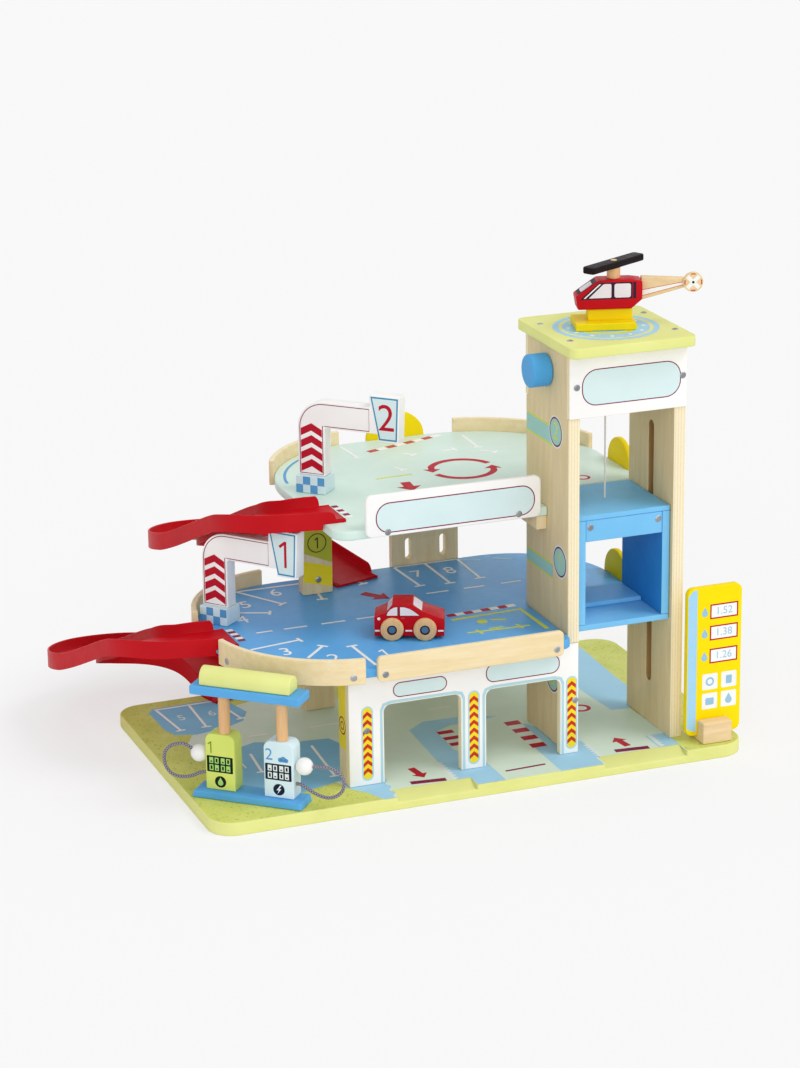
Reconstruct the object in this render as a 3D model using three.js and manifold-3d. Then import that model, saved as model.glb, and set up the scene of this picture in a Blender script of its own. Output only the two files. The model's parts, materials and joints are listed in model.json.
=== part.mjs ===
// Wooden toy parking garage: a base board, two parking decks, a lift tower with a hand-wound lift,
// two spiral ramps, signs, a pump island, a car and a helicopter. Millimetres, +Z up,
// origin at the centre of the base board's underside, +X along the front edge, +Y to the back.
import * as THREE from 'three';
import { mergeVertices } from 'three/addons/utils/BufferGeometryUtils.js';
import Module from 'manifold-3d';

const wasm = await Module();
wasm.setup();

const UP = new THREE.Vector3(0, 0, 1);
const quarterTurn = Math.PI / 2;
const halfTurn = Math.PI;
const degree = Math.PI / 180;

// General fits and drawing steps
const gap = 0.3;
const overrun = 2;
const curveSteps = 10;
const roundSides = 24;

// Base board
const base = { width: 600, depth: 361.5, thick: 14.3, corner: 28 };
const driveIn = { run: 21, drop: 6, width: 88, liftWidth: 95, liftOffset: 7 };

// Levels: the top faces of the two decks
const level1 = 149;
const level2 = 275;
const deckThick = 10;

// Lift tower
const tower = { centreX: 173.4, frontY: -139.45, depth: 110.1, innerWidth: 107.4, wall: 12.95, topZ: 451 };
const towerBoard = { thick: 6, proud: 2.05, lowZ: 383.5 };
const roof = { width: 142.6, depth: 145.7, thick: 11.1, corner: 9 };
const groove = { width: 12.5, depth: 7, lowZ: 61.8, highZ: 355.6 };

// Winding gear
const winder = { axisZ: 424, shaftDia: 8, drumDia: 12, drumLength: 60, blindDepth: 8 };
const knob = { dia: 35, length: 22.1, bore: 15, edge: 1.5 };
const liftCord = { dia: 1.8 };

// Lift car at rest, near the first deck
const lift = { floorLow: 148.6, height: 126.9, side: 1.2, frontInset: 4.75, backInset: 4.85 };
const liftFloor = { thick: 6.1 };
const liftTop = { thick: 5.5 };
const liftWall = { thick: 8.5 };
const lintel = { height: 23.3, thick: 8, inset: 0.4 };
const liftStep = { thick: 5, depth: 50.8, nose: 2.2, end: 1 };
const guidePin = { dia: 11.5, length: 7, aboveFloor: 63.4 };

// First deck outline
const deck1 = { leftX: -243, frontY: -155, backY: 143.5, rightX: 233, frontRadius: 132, backRadius: 120.7,
  rightRadius: 115, frontCorner: 12 };
// Second deck outline
const deck2 = { leftX: -130, frontY: -86.4, backY: 219, rightX: 240, frontRadius: 18, backRadius: 132,
  rightRadius: 152, frontCorner: 0 };

// Rails round the decks
const railThick = 6;
const deck1Rail = { height: 27.5, above: 13.5 };
const deck1RearRail = { height: 30, above: 16 };
const deck2Rail = { height: 28, above: 15 };
const frontRail = { leftX: -114, rightX: 93, corner: 5 };
const frontLeftArc = { from: 188.8 * degree, to: 263.4 * degree };
const backLeftArc1 = { from: 96.3 * degree, to: 172 * degree };
const backLeftArc2 = { from: 97.5 * degree, to: 156.7 * degree };
const backRightArc2 = { from: 12 * degree, to: 77.6 * degree };

// Half-round yellow edge stops
const stop = { skirt: 10, thick: 6 };
const backStop = { centre: 52.5, width: 69, rise: 30 };
const sideStop1 = { centre: 18, width: 57, rise: 30 };
const sideStop2 = { centre: 27.5, width: 56, rise: 29 };

// Ground floor front panel with two arches
const panel = { leftX: -139, frontY: -138.6, thick: 9, archTop: 100.5 };
const arch1 = { leftX: -100.2, rightX: -14.1, corner: 8 };
const arch2 = { leftX: 14.3, rightX: 98.8, corner: 8 };

// Posts and panels that carry the decks
const sidePost = { width: 18, depth: 21.3 };
const rearPost = { leftX: -107.2, frontY: 87.2, width: 34.1, depth: 16 };
const backPanel = { leftX: 18, width: 79.2, thick: 9 };
const panelSlot = { width: 7.7, height: 24.8, firstX: 15.5, secondX: 57, lowZ: 6 };
const cleat = { width: 11.9, height: 14.7, frontY: -85, backY: -29.4 };

// Name board on the front edge of the second deck
const nameBoard = { leftX: -99, rightX: 96.6, height: 45.4, above: 37.4, thick: 5.3, corner: 7 };

// Spiral ramps: one moulding used twice, the lower one with a shorter straight end
const ramp = { width: 55.7, wall: 2.5, floor: 2, rise: 2.6, outerRim: 10.9, innerRim: 12, skirt: 8.5,
  lip: 0.6, lipSkirt: 0.3, firstRadius: 82.6, straight: 113, secondRadius: 83.1, tongue: 10.7,
  outerOver: 10.5, innerOver: 20.5, blend: 0.6, step: 14 };
const runOut = { upper: 78, lower: 38 };
const rampTurn = { first: 77.3 * degree, second: 176.5 * degree };
// Shares of the upper ramp's length and of its fall; the ramp's own end closes the list
const fallPlaceShares = [0, 0.04, 0.1, 0.2, 0.4, 0.6, 0.8];
const fallShares = [0, 0, 0.03, 0.124, 0.517, 0.754, 0.879];
const rampStart2 = { inset: 12.25, y: -26 };
const rampStart1 = { inset: 8.5, y: -14.3 };

// Level signs: an L-shaped board with a tag, on a block
const signBlock = { width: 34.2, depth: 26, height: 18.7 };
const signBoard = { thick: 16, legLeft: 1.1, legWidth: 31.5, armLow: 72.5, top: 101, corner: 30, inner: 4,
  frontInset: 5.5 };
const signTag = { topLeft: 85, bottomLeft: 95, topRight: 120, bottomRight: 118, top: 114.5, bottom: 64.5 };
const sign1 = { x: -237.1, y: 50.7, turn: -50.7 * degree };
const sign2 = { x: -120, y: 67, turn: -44.9 * degree };

// Price sign in its wooden foot
const priceBoard = { leftX: 237.5, width: 64, frontY: -157, thick: 7.5, lowAbove: 5.7, height: 166.5, corner: 8 };
const priceFoot = { leftX: 250.8, width: 33.7, frontY: -172.6, depth: 32.6, height: 23.4 };

// Pump island, laid out along its own front edge
const island = { x: -297.6, y: -97.4, turn: -41.6 * degree, length: 122, depth: 30, thick: 7.7, bevel: 2 };
const pump = { width: 32.7, front: 8, depth: 20, height: 61.4, corner: 8, firstAlong: 13, secondAlong: 78 };
const canopyPost = { dia: 12, height: 43.1, firstAlong: 32.5, secondAlong: 96.4 };
const canopy = { thick: 9.3, corner: 3 };
const canopyBlock = { along: 10, length: 100, depth: 22, height: 18, front: 4, foot: 7 };
const bead = { dia: 18.4, z: 58.3 };
const hose = { dia: 3.5, sides: 8 };
// Hose paths over the ground: along the island's front edge, and height
const hoseRoute1 = [[-5.32, 62.44], [-8.82, 64.07], [-14.5, 66.1], [-20.7, 65.3], [-29.9, 61.3], [-35.8, 53.9],
  [-36.8, 44.9], [-34.2, 36.3], [-27.6, 30.4], [-17.5, 29], [-6.1, 31.6], [2, 35.8], [9.1, 38], [12.7, 38]];
const hoseRoute2 = [[129.9, 58.8], [133.4, 59.2], [139.5, 59.9], [150.4, 59.4], [159.1, 55], [163.3, 46.8],
  [162, 37.9], [155.3, 30.4], [145.4, 26.9], [134.4, 28.7], [125.7, 32.6], [119.5, 36], [114.6, 38],
  [111, 38]];

// Toy car, laid out along its own heading with the rear wheels at zero
const car = { x: -70.4, y: -86.5, turn: -23.1 * degree, width: 33, wheelBase: 34.5, rear: 18.7, front: 20,
  sill: 3.5, tail: 24, boot: 29.2, bonnet: 29.8, nose: 22, roof: 38, bootFront: -6.3, roofRear: 0.8, roofFront: 21.1,
  glassFront: 32.5 };
const wheel = { dia: 24.2, width: 6.2, axle: 6, bore: 6.8 };

// Toy helicopter, laid out along its own side with the skid's front left corner at zero
const heli = { x: 135.4, y: -93.1, turn: -16 * degree };
const skid = { length: 63.5, depth: 44, height: 8, blockLeft: 14.4, blockLength: 46.7, blockFront: 14,
  blockDepth: 16, top: 20 };
const fuselage = { front: 10, width: 23, nose: 1, noseZ: 34.5, chin: 3.4, belly: 59.6, rear: 70.9, rearLow: 29.8,
  rearTop: 49.5, roofRear: 59.3, roofFront: 24.8, top: 51 };
const mast = { along: 42, dia: 14, height: 11.2 };
const rotor = { length: 88, width: 15, thick: 7, turn: 43.8 * degree };
const boom = { front: 20.5, width: 9, lowZ: 26.7, highZ: 51.3, endAlong: 125, endLow: 40.5, endHigh: 47.7 };
const tailDisc = { dia: 21, thick: 4, along: 125, z: 44.8 };

// Paint and wood
const paint = {
  birch: { color: 0xe6c48f, roughness: 0.6, metalness: 0 },
  beech: { color: 0xdba26b, roughness: 0.6, metalness: 0 },
  lime: { color: 0xdfe58e, roughness: 0.5, metalness: 0 },
  blue: { color: 0x5b9bd0, roughness: 0.4, metalness: 0 },
  liftBlue: { color: 0x63a9dd, roughness: 0.4, metalness: 0 },
  mint: { color: 0xcfe4da, roughness: 0.4, metalness: 0 },
  paleBlue: { color: 0xc2e6f0, roughness: 0.4, metalness: 0 },
  white: { color: 0xf6f4f2, roughness: 0.4, metalness: 0 },
  yellow: { color: 0xf6dc16, roughness: 0.4, metalness: 0 },
  red: { color: 0xc91f28, roughness: 0.25, metalness: 0 },
  green: { color: 0xc2dc5c, roughness: 0.4, metalness: 0 },
  dark: { color: 0x2b2127, roughness: 0.5, metalness: 0 },
  grey: { color: 0x9a94a0, roughness: 0.9, metalness: 0 },
};

const garage = new THREE.Group();

// Adds one named piece to a group.
function add(name, geometry, finish, parent = garage) {
  const mesh = new THREE.Mesh(geometry, new THREE.MeshStandardMaterial(finish));
  mesh.name = name;
  parent.add(mesh);
  return mesh;
}

// A group that stands at a point and is turned about the vertical.
function standing(x, y, z, turn) {
  const group = new THREE.Group();
  group.position.set(x, y, z);
  group.rotation.z = turn;
  garage.add(group);
  return group;
}

// A closed solid for joining and cutting.
function solidOf(geometry) {
  const bare = geometry.clone();
  bare.deleteAttribute('normal');
  bare.deleteAttribute('uv');
  const merged = mergeVertices(bare);
  const index = new Uint32Array(merged.index.array);
  const points = new Float32Array(merged.attributes.position.array);
  return new wasm.Manifold(new wasm.Mesh({ numProp: 3, vertProperties: points, triVerts: index }));
}

// The three.js geometry of a joined or cut solid.
function geometryOf(solid) {
  const mesh = solid.getMesh();
  const geometry = new THREE.BufferGeometry();
  geometry.setAttribute('position', new THREE.BufferAttribute(mesh.vertProperties, 3));
  geometry.setIndex(new THREE.BufferAttribute(mesh.triVerts, 1));
  geometry.computeVertexNormals();
  return geometry;
}

function cut(geometry, ...tools) {
  return geometryOf(tools.reduce((rest, tool) => rest.subtract(solidOf(tool)), solidOf(geometry)));
}

function join(geometry, ...others) {
  return geometryOf(others.reduce((sum, other) => sum.add(solidOf(other)), solidOf(geometry)));
}

// A box given by its low corner and its size.
function box(x, y, z, width, depth, height) {
  return new THREE.BoxGeometry(width, depth, height)
    .translate(x + width / 2, y + depth / 2, z + height / 2);
}

// A round rod given by the middle of its low end and its direction.
function rod(dia, length, direction, x, y, z) {
  const geometry = new THREE.CylinderGeometry(dia / 2, dia / 2, length, roundSides);
  geometry.translate(0, length / 2, 0);
  const turn = new THREE.Quaternion().setFromUnitVectors(new THREE.Vector3(0, 1, 0), direction);
  return geometry.applyQuaternion(turn).translate(x, y, z);
}

// A flat slab whose outline lies in X and Y.
function slab(shape, lowZ, thick) {
  const geometry = new THREE.ExtrudeGeometry(shape, { depth: thick, bevelEnabled: false, curveSegments: curveSteps });
  return geometry.translate(0, 0, lowZ);
}

// An upright board whose outline lies in X and Z.
function board(shape, frontY, thick) {
  return slab(shape, 0, thick).rotateX(quarterTurn).translate(0, frontY + thick, 0);
}

// An upright wall whose outline lies in Y and Z.
function wall(shape, lowX, thick) {
  const turn = new THREE.Matrix4().makeBasis(new THREE.Vector3(0, 1, 0), UP, new THREE.Vector3(1, 0, 0));
  return slab(shape, 0, thick).applyMatrix4(turn).translate(lowX, 0, 0);
}

// A rectangle with round corners.
function roundedRectangle(left, low, right, high, radius) {
  const shape = new THREE.Shape();
  shape.moveTo(left + radius, low);
  shape.lineTo(right - radius, low);
  shape.absarc(right - radius, low + radius, radius, -quarterTurn, 0, false);
  shape.lineTo(right, high - radius);
  shape.absarc(right - radius, high - radius, radius, 0, quarterTurn, false);
  shape.lineTo(left + radius, high);
  shape.absarc(left + radius, high - radius, radius, quarterTurn, halfTurn, false);
  shape.lineTo(left, low + radius);
  shape.absarc(left + radius, low + radius, radius, halfTurn, halfTurn + quarterTurn, false);
  return shape;
}

function polygon(points) {
  return new THREE.Shape(points.map(([x, y]) => new THREE.Vector2(x, y)));
}

// Places of the tower, worked out from its sizes
const towerInnerLeft = tower.centreX - tower.innerWidth / 2;
const towerInnerRight = tower.centreX + tower.innerWidth / 2;
const towerLeft = towerInnerLeft - tower.wall;
const towerRight = towerInnerRight + tower.wall;
const towerBack = tower.frontY + tower.depth;
const towerMidY = tower.frontY + tower.depth / 2;
const deckEdgeX = towerLeft - gap;
const deckEdgeY = towerBack + gap;
const floorZ = base.thick + gap;
const baseFront = -base.depth / 2;

// Base board with two sloped drive-in edges.
function baseBoard() {
  const outline = roundedRectangle(-base.width / 2, baseFront, base.width / 2, base.depth / 2, base.corner);
  const slope = (centreX, width) => {
    const section = polygon([
      [baseFront + driveIn.run, base.thick],
      [baseFront - overrun, base.thick + overrun],
      [baseFront - overrun, base.thick - driveIn.drop * (driveIn.run + overrun) / driveIn.run],
    ]);
    return wall(section, centreX - width / 2, width);
  };
  const archMiddle = (arch1.leftX + arch1.rightX) / 2;
  return cut(slab(outline, 0, base.thick), slope(archMiddle, driveIn.width),
    slope(tower.centreX + driveIn.liftOffset, driveIn.liftWidth));
}

// Front panel with two arches.
function frontPanel() {
  const top = level1 - deckThick - gap;
  const shape = new THREE.Shape();
  shape.moveTo(panel.leftX, floorZ);
  for (const arch of [arch1, arch2]) {
    shape.lineTo(arch.leftX, floorZ);
    shape.lineTo(arch.leftX, panel.archTop - arch.corner);
    shape.absarc(arch.leftX + arch.corner, panel.archTop - arch.corner, arch.corner, halfTurn, quarterTurn, true);
    shape.lineTo(arch.rightX - arch.corner, panel.archTop);
    shape.absarc(arch.rightX - arch.corner, panel.archTop - arch.corner, arch.corner, quarterTurn, 0, true);
    shape.lineTo(arch.rightX, floorZ);
  }
  shape.lineTo(towerInnerLeft, floorZ);
  shape.lineTo(towerInnerLeft, top);
  shape.lineTo(panel.leftX, top);
  return board(shape, panel.frontY, panel.thick);
}

// Outline of a deck: round at the left and at the back right, stepped round the tower.
function deckShape({ leftX, frontY, backY, rightX, frontRadius, backRadius, rightRadius, frontCorner }) {
  const shape = new THREE.Shape();
  shape.moveTo(leftX + frontRadius, frontY);
  shape.lineTo(deckEdgeX - frontCorner, frontY);
  if (frontCorner > 0) {
    shape.absarc(deckEdgeX - frontCorner, frontY + frontCorner, frontCorner, -quarterTurn, 0, false);
  }
  shape.lineTo(deckEdgeX, deckEdgeY);
  shape.lineTo(rightX, deckEdgeY);
  shape.absarc(rightX - rightRadius, backY - rightRadius, rightRadius, 0, quarterTurn, false);
  shape.absarc(leftX + backRadius, backY - backRadius, backRadius, quarterTurn, halfTurn, false);
  shape.absarc(leftX + frontRadius, frontY + frontRadius, frontRadius, halfTurn, halfTurn + quarterTurn, false);
  return shape;
}

// A rail bent round a deck's corner.
function arcRail(centreX, centreY, edgeRadius, arc, level, size) {
  const inner = edgeRadius + gap;
  const outer = inner + railThick;
  const shape = new THREE.Shape();
  shape.absarc(centreX, centreY, outer, arc.from, arc.to, false);
  shape.absarc(centreX, centreY, inner, arc.to, arc.from, true);
  return slab(shape, level + size.above - size.height, size.height);
}

// Half-round stop: a disc's upper half over a short skirt.
function stopShape({ centre, width, rise }, level) {
  const half = width / 2;
  const shape = new THREE.Shape();
  shape.moveTo(centre - half, level - stop.skirt);
  shape.lineTo(centre + half, level - stop.skirt);
  shape.lineTo(centre + half, level);
  shape.absellipse(centre, level, half, rise, 0, halfTurn, false, 0);
  return shape;
}

// Tower side: notched for the boards, grooved for the lift's guide pins, bored for the shaft.
function towerSide(lowX, innerX, inward, notched, throughHole) {
  const boardNotch = towerBoard.thick - towerBoard.proud + gap;
  const notchLow = towerBoard.lowZ - gap;
  const panelNotch = panel.frontY + panel.thick + gap;
  const panelTop = level1 - deckThick;
  const front = notched
    ? [[panelNotch, floorZ], [panelNotch, panelTop], [tower.frontY, panelTop]]
    : [[tower.frontY, floorZ]];
  const shape = polygon([
    [towerBack, floorZ],
    [towerBack, notchLow],
    [towerBack - boardNotch, notchLow],
    [towerBack - boardNotch, tower.topZ],
    [tower.frontY + boardNotch, tower.topZ],
    [tower.frontY + boardNotch, notchLow],
    [tower.frontY, notchLow],
    ...front.reverse(),
  ]);
  const boreDia = winder.shaftDia + 2 * gap;
  const grooveShape = roundedRectangle(towerMidY - groove.width / 2, groove.lowZ, towerMidY + groove.width / 2,
    groove.highZ, groove.width / 2);
  const grooveLow = inward > 0 ? innerX - groove.depth : innerX - overrun;
  const grooveCut = wall(grooveShape, grooveLow, groove.depth + overrun);
  const boreLow = throughHole ? lowX - overrun : innerX - overrun;
  const boreLength = throughHole ? tower.wall + 2 * overrun : winder.blindDepth + overrun;
  const boreCut = rod(boreDia, boreLength, new THREE.Vector3(1, 0, 0), boreLow, towerMidY, winder.axisZ);
  return cut(wall(shape, lowX, tower.wall), grooveCut, boreCut);
}

// Winding shaft with a thicker drum in the middle, turned about X.
function windingShaft() {
  const start = towerLeft - knob.bore;
  const end = towerInnerRight + winder.blindDepth - gap;
  const thin = winder.shaftDia / 2;
  const thick = winder.drumDia / 2;
  const drumStart = tower.centreX - winder.drumLength / 2 - start;
  const drumEnd = drumStart + winder.drumLength;
  const profile = [[0, 0], [thin, 0], [thin, drumStart], [thick, drumStart], [thick, drumEnd], [thin, drumEnd],
    [thin, end - start], [0, end - start]];
  const points = profile.map(([radius, along]) => new THREE.Vector2(radius, along));
  return new THREE.LatheGeometry(points, roundSides).rotateZ(-quarterTurn).translate(start, towerMidY, winder.axisZ);
}

// Winding knob with a blind bore for the shaft's end.
function windingKnob() {
  const outer = knob.dia / 2;
  const bore = winder.shaftDia / 2 + gap;
  const mouth = knob.length;
  const depth = mouth - knob.bore - gap;
  const profile = [[0, 0], [outer - knob.edge, 0], [outer, knob.edge], [outer, mouth - knob.edge],
    [outer - knob.edge, mouth], [bore, mouth], [bore, depth], [0, depth]];
  const points = profile.map(([radius, along]) => new THREE.Vector2(radius, along));
  return new THREE.LatheGeometry(points, roundSides).rotateZ(-quarterTurn)
    .translate(towerLeft - gap - knob.length, towerMidY, winder.axisZ);
}

// Lift car places, worked out from the shaft
const liftLeft = towerInnerLeft + lift.side;
const liftRight = towerInnerRight - lift.side;
const liftFront = tower.frontY + lift.frontInset;
const liftBack = towerBack - lift.backInset;
const liftWidth = liftRight - liftLeft;
const liftDepth = liftBack - liftFront;
const liftFloorTop = lift.floorLow + liftFloor.thick;
const liftTopLow = lift.floorLow + lift.height - liftTop.thick;

// One side of the lift with its guide pin.
function liftSide(lowX, pinX) {
  const height = liftTopLow - liftFloorTop - 2 * gap;
  const side = box(lowX, liftFront + gap, liftFloorTop + gap, liftWall.thick, liftDepth - 2 * gap, height);
  const pinZ = lift.floorLow + guidePin.aboveFloor;
  const pin = rod(guidePin.dia, guidePin.length + overrun, new THREE.Vector3(1, 0, 0), pinX, towerMidY, pinZ);
  return join(side, pin);
}

// Raised step at the back of the lift floor, with a round nose.
function liftStepShape() {
  const low = liftFloorTop + gap;
  const high = low + liftStep.thick;
  const front = liftBack - liftStep.depth;
  const shape = new THREE.Shape();
  shape.moveTo(front, low);
  shape.lineTo(liftBack - liftStep.end, low);
  shape.lineTo(liftBack - liftStep.end, high);
  shape.lineTo(front + liftStep.nose, high);
  shape.absarc(front + liftStep.nose, high - liftStep.nose, liftStep.nose, quarterTurn, halfTurn, false);
  return shape;
}

// Centre line of a ramp: two arcs and two straights, first towards -X, then back round to the deck below.
const rampTop = [
  { length: ramp.firstRadius * rampTurn.first, turn: rampTurn.first },
  { length: ramp.straight, turn: 0 },
  { length: ramp.secondRadius * rampTurn.second, turn: rampTurn.second },
];
const rampTopLength = rampTop.reduce((sum, leg) => sum + leg.length, 0);
const upperDrop = level2 - level1;

// What a ramp has lost of its height at each place, as a table of points.
function fallTable(length, drop) {
  const fullLength = rampTopLength + runOut.upper;
  const points = fallShares.map((fall, i) => new THREE.Vector2(fallPlaceShares[i] * fullLength, fall * upperDrop));
  points.push(new THREE.Vector2(length, drop));
  return new THREE.SplineCurve(points).getPoints(points.length * roundSides);
}

function fallAt(table, along) {
  const after = table.findIndex((point) => point.x >= along);
  if (after < 0) return table[table.length - 1].y;
  if (after === 0) return 0;
  const a = table[after - 1];
  const b = table[after];
  return Math.max(0, a.y + (b.y - a.y) * (along - a.x) / (b.x - a.x));
}

// Place and heading on the centre line.
function rampPoint(along) {
  let x = 0;
  let y = 0;
  let heading = halfTurn;
  let rest = along;
  for (const leg of rampTop) {
    const part = Math.min(rest, leg.length);
    if (leg.turn > 0 && rest > 0) {
      const radius = leg.length / leg.turn;
      const angle = part / radius;
      x += radius * (Math.sin(heading) - Math.sin(heading - angle));
      y += radius * (Math.cos(heading - angle) - Math.cos(heading));
      heading -= angle;
    } else {
      x += part * Math.cos(heading);
      y += part * Math.sin(heading);
    }
    rest -= part;
  }
  return { x: x + rest * Math.cos(heading), y: y + rest * Math.sin(heading), heading };
}

// Places along a ramp where a section is made: even steps, and pairs where the walls start and end.
function rampPlaces(length) {
  const start = ramp.innerOver + ramp.blend;
  const rest = length - ramp.blend - start;
  const steps = Math.round(rest / ramp.step);
  const even = Array.from({ length: steps }, (_, i) => start + rest * i / steps);
  return [-ramp.tongue, 0, ramp.blend, ramp.outerOver, ramp.outerOver + ramp.blend, ramp.innerOver, ...even,
    length - ramp.blend, length, length + ramp.tongue];
}

// The channel: a floor, two walls and a skirt, swept along the centre line in level sections.
function rampGeometry(drop, straightEnd) {
  const length = rampTopLength + straightEnd;
  const table = fallTable(length, drop);
  const half = ramp.width / 2;
  const inner = half - ramp.wall;
  const rings = rampPlaces(length).map((along) => {
    const onTongue = along <= 0 || along >= length;
    const place = along < 0 ? { x: -along, y: 0, heading: halfTurn } : rampPoint(along);
    const height = drop - fallAt(table, Math.min(Math.max(along, 0), length));
    const deepest = Math.min(ramp.skirt, height + ramp.floor + ramp.lipSkirt);
    const outerSkirt = along <= ramp.outerOver ? ramp.floor + ramp.lipSkirt : deepest;
    const innerSkirt = along <= ramp.innerOver ? ramp.floor + ramp.lipSkirt : deepest;
    const outerRim = onTongue ? ramp.lip : ramp.outerRim;
    const innerRim = onTongue ? ramp.lip : ramp.innerRim;
    const section = [[half, -outerSkirt], [half, outerRim], [inner, outerRim], [inner, 0], [-inner, 0],
      [-inner, innerRim], [-half, innerRim], [-half, -innerSkirt], [-inner, -innerSkirt], [-inner, -ramp.floor],
      [inner, -ramp.floor], [inner, -outerSkirt]];
    const side = { x: -Math.sin(place.heading), y: Math.cos(place.heading) };
    return section.map(([out, up]) => [place.x + side.x * out, place.y + side.y * out, height + up]);
  });
  return sweptGeometry(rings);
}

// A closed solid through rings of matching points, capped at both ends.
function sweptGeometry(rings) {
  const size = rings[0].length;
  const flat = rings[0].map(([x, y, z]) => new THREE.Vector2(-y, z));
  const cap = THREE.ShapeUtils.triangulateShape(flat, []);
  const index = [];
  for (let ring = 0; ring + 1 < rings.length; ring += 1) {
    for (let i = 0; i < size; i += 1) {
      const a = ring * size + i;
      const b = ring * size + (i + 1) % size;
      index.push(a, b, b + size, a, b + size, a + size);
    }
  }
  const last = (rings.length - 1) * size;
  for (const [a, b, c] of cap) {
    index.push(a, c, b, last + a, last + b, last + c);
  }
  const geometry = new THREE.BufferGeometry();
  geometry.setAttribute('position', new THREE.Float32BufferAttribute(rings.flat(2), 3));
  geometry.setIndex(index);
  const volume = signedVolume(geometry);
  if (volume < 0) geometry.setIndex(index.map((_, i) => index[i - i % 3 + 2 - i % 3]));
  geometry.computeVertexNormals();
  return geometry;
}

// Six times the volume inside a closed mesh, negative when its faces point in.
function signedVolume(geometry) {
  const points = geometry.attributes.position;
  const corners = [0, 1, 2].map(() => new THREE.Vector3());
  let sum = 0;
  for (let i = 0; i < geometry.index.count; i += 3) {
    corners.forEach((corner, k) => corner.fromBufferAttribute(points, geometry.index.getX(i + k)));
    sum += corners[0].dot(corners[1].clone().cross(corners[2]));
  }
  return sum;
}

// Level sign: a block on the deck and an L-shaped board with a tag on its arm.
function levelSign(number, place, level) {
  const group = standing(place.x, place.y, level + gap, place.turn);
  add(`level_sign_${number}_base`, box(0, 0, 0, signBlock.width, signBlock.depth, signBlock.height), paint.paleBlue,
    group);
  const low = signBlock.height + gap;
  const { legLeft, legWidth, armLow, top, corner, inner } = signBoard;
  const shape = new THREE.Shape();
  shape.moveTo(legLeft, low);
  shape.lineTo(legLeft + legWidth, low);
  shape.lineTo(legLeft + legWidth, armLow - inner);
  shape.absarc(legLeft + legWidth + inner, armLow - inner, inner, halfTurn, quarterTurn, true);
  shape.lineTo(signTag.bottomLeft, armLow);
  shape.lineTo(signTag.bottomLeft, signTag.bottom);
  shape.lineTo(signTag.bottomRight, signTag.bottom);
  shape.lineTo(signTag.topRight, signTag.top);
  shape.lineTo(signTag.topLeft, signTag.top);
  shape.lineTo(signTag.topLeft, top);
  shape.lineTo(legLeft + corner, top);
  shape.absarc(legLeft + corner, top - corner, corner, quarterTurn, halfTurn, false);
  add(`level_sign_${number}_board`, board(shape, signBoard.frontInset, signBoard.thick), paint.white, group);
}

// A tube along a curve, for the pump hoses.
function hoseGeometry(points) {
  const curve = new THREE.CatmullRomCurve3(points);
  const section = new THREE.Shape();
  section.absarc(0, 0, hose.dia / 2, 0, 2 * halfTurn, false);
  const steps = Math.round(curve.getLength() / (hose.dia * 2));
  return new THREE.ExtrudeGeometry(section, { steps, extrudePath: curve, curveSegments: hose.sides });
}

// Tower and its winding gear
add('base_board', baseBoard(), paint.lime);
add('tower_left_wall', towerSide(towerLeft, towerInnerLeft, 1, true, true), paint.birch);
add('tower_right_wall', towerSide(towerInnerRight, towerInnerRight, -1, false, false), paint.birch);
const boardWidth = towerRight - towerLeft;
const boardHeight = tower.topZ - towerBoard.lowZ;
add('tower_front_board', box(towerLeft, tower.frontY - towerBoard.proud, towerBoard.lowZ, boardWidth,
  towerBoard.thick, boardHeight), paint.white);
add('tower_back_board', box(towerLeft, towerBack + towerBoard.proud - towerBoard.thick, towerBoard.lowZ, boardWidth,
  towerBoard.thick, boardHeight), paint.white);
const roofLeft = tower.centreX - roof.width / 2;
const roofFront = towerMidY - roof.depth / 2;
const roofLow = tower.topZ + gap;
add('tower_roof', slab(roundedRectangle(roofLeft, roofFront, roofLeft + roof.width, roofFront + roof.depth,
  roof.corner), roofLow, roof.thick), paint.lime);
add('winding_shaft', windingShaft(), paint.beech);
add('winding_knob', windingKnob(), paint.blue);

// Lift car and its cord
add('lift_floor', box(liftLeft, liftFront, lift.floorLow, liftWidth, liftDepth, liftFloor.thick), paint.liftBlue);
add('lift_top', box(liftLeft, liftFront, liftTopLow, liftWidth, liftDepth, liftTop.thick), paint.liftBlue);
const leftPinX = liftLeft - guidePin.length;
const rightPinX = liftRight - overrun;
add('lift_left_wall', liftSide(liftLeft, leftPinX), paint.liftBlue);
add('lift_right_wall', liftSide(liftRight - liftWall.thick, rightPinX), paint.liftBlue);
const lintelLeft = liftLeft + liftWall.thick + gap;
add('lift_lintel', box(lintelLeft, liftFront + lintel.inset, liftTopLow - gap - lintel.height,
  liftWidth - 2 * (liftWall.thick + gap), lintel.thick, lintel.height), paint.liftBlue);
add('lift_step', wall(liftStepShape(), lintelLeft, liftWidth - 2 * (liftWall.thick + gap)), paint.liftBlue);
const cordLow = lift.floorLow + lift.height + gap;
const cordHigh = winder.axisZ - winder.drumDia / 2 - gap;
add('lift_cord', rod(liftCord.dia, cordHigh - cordLow, UP, tower.centreX, towerMidY, cordLow), paint.white);

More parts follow.
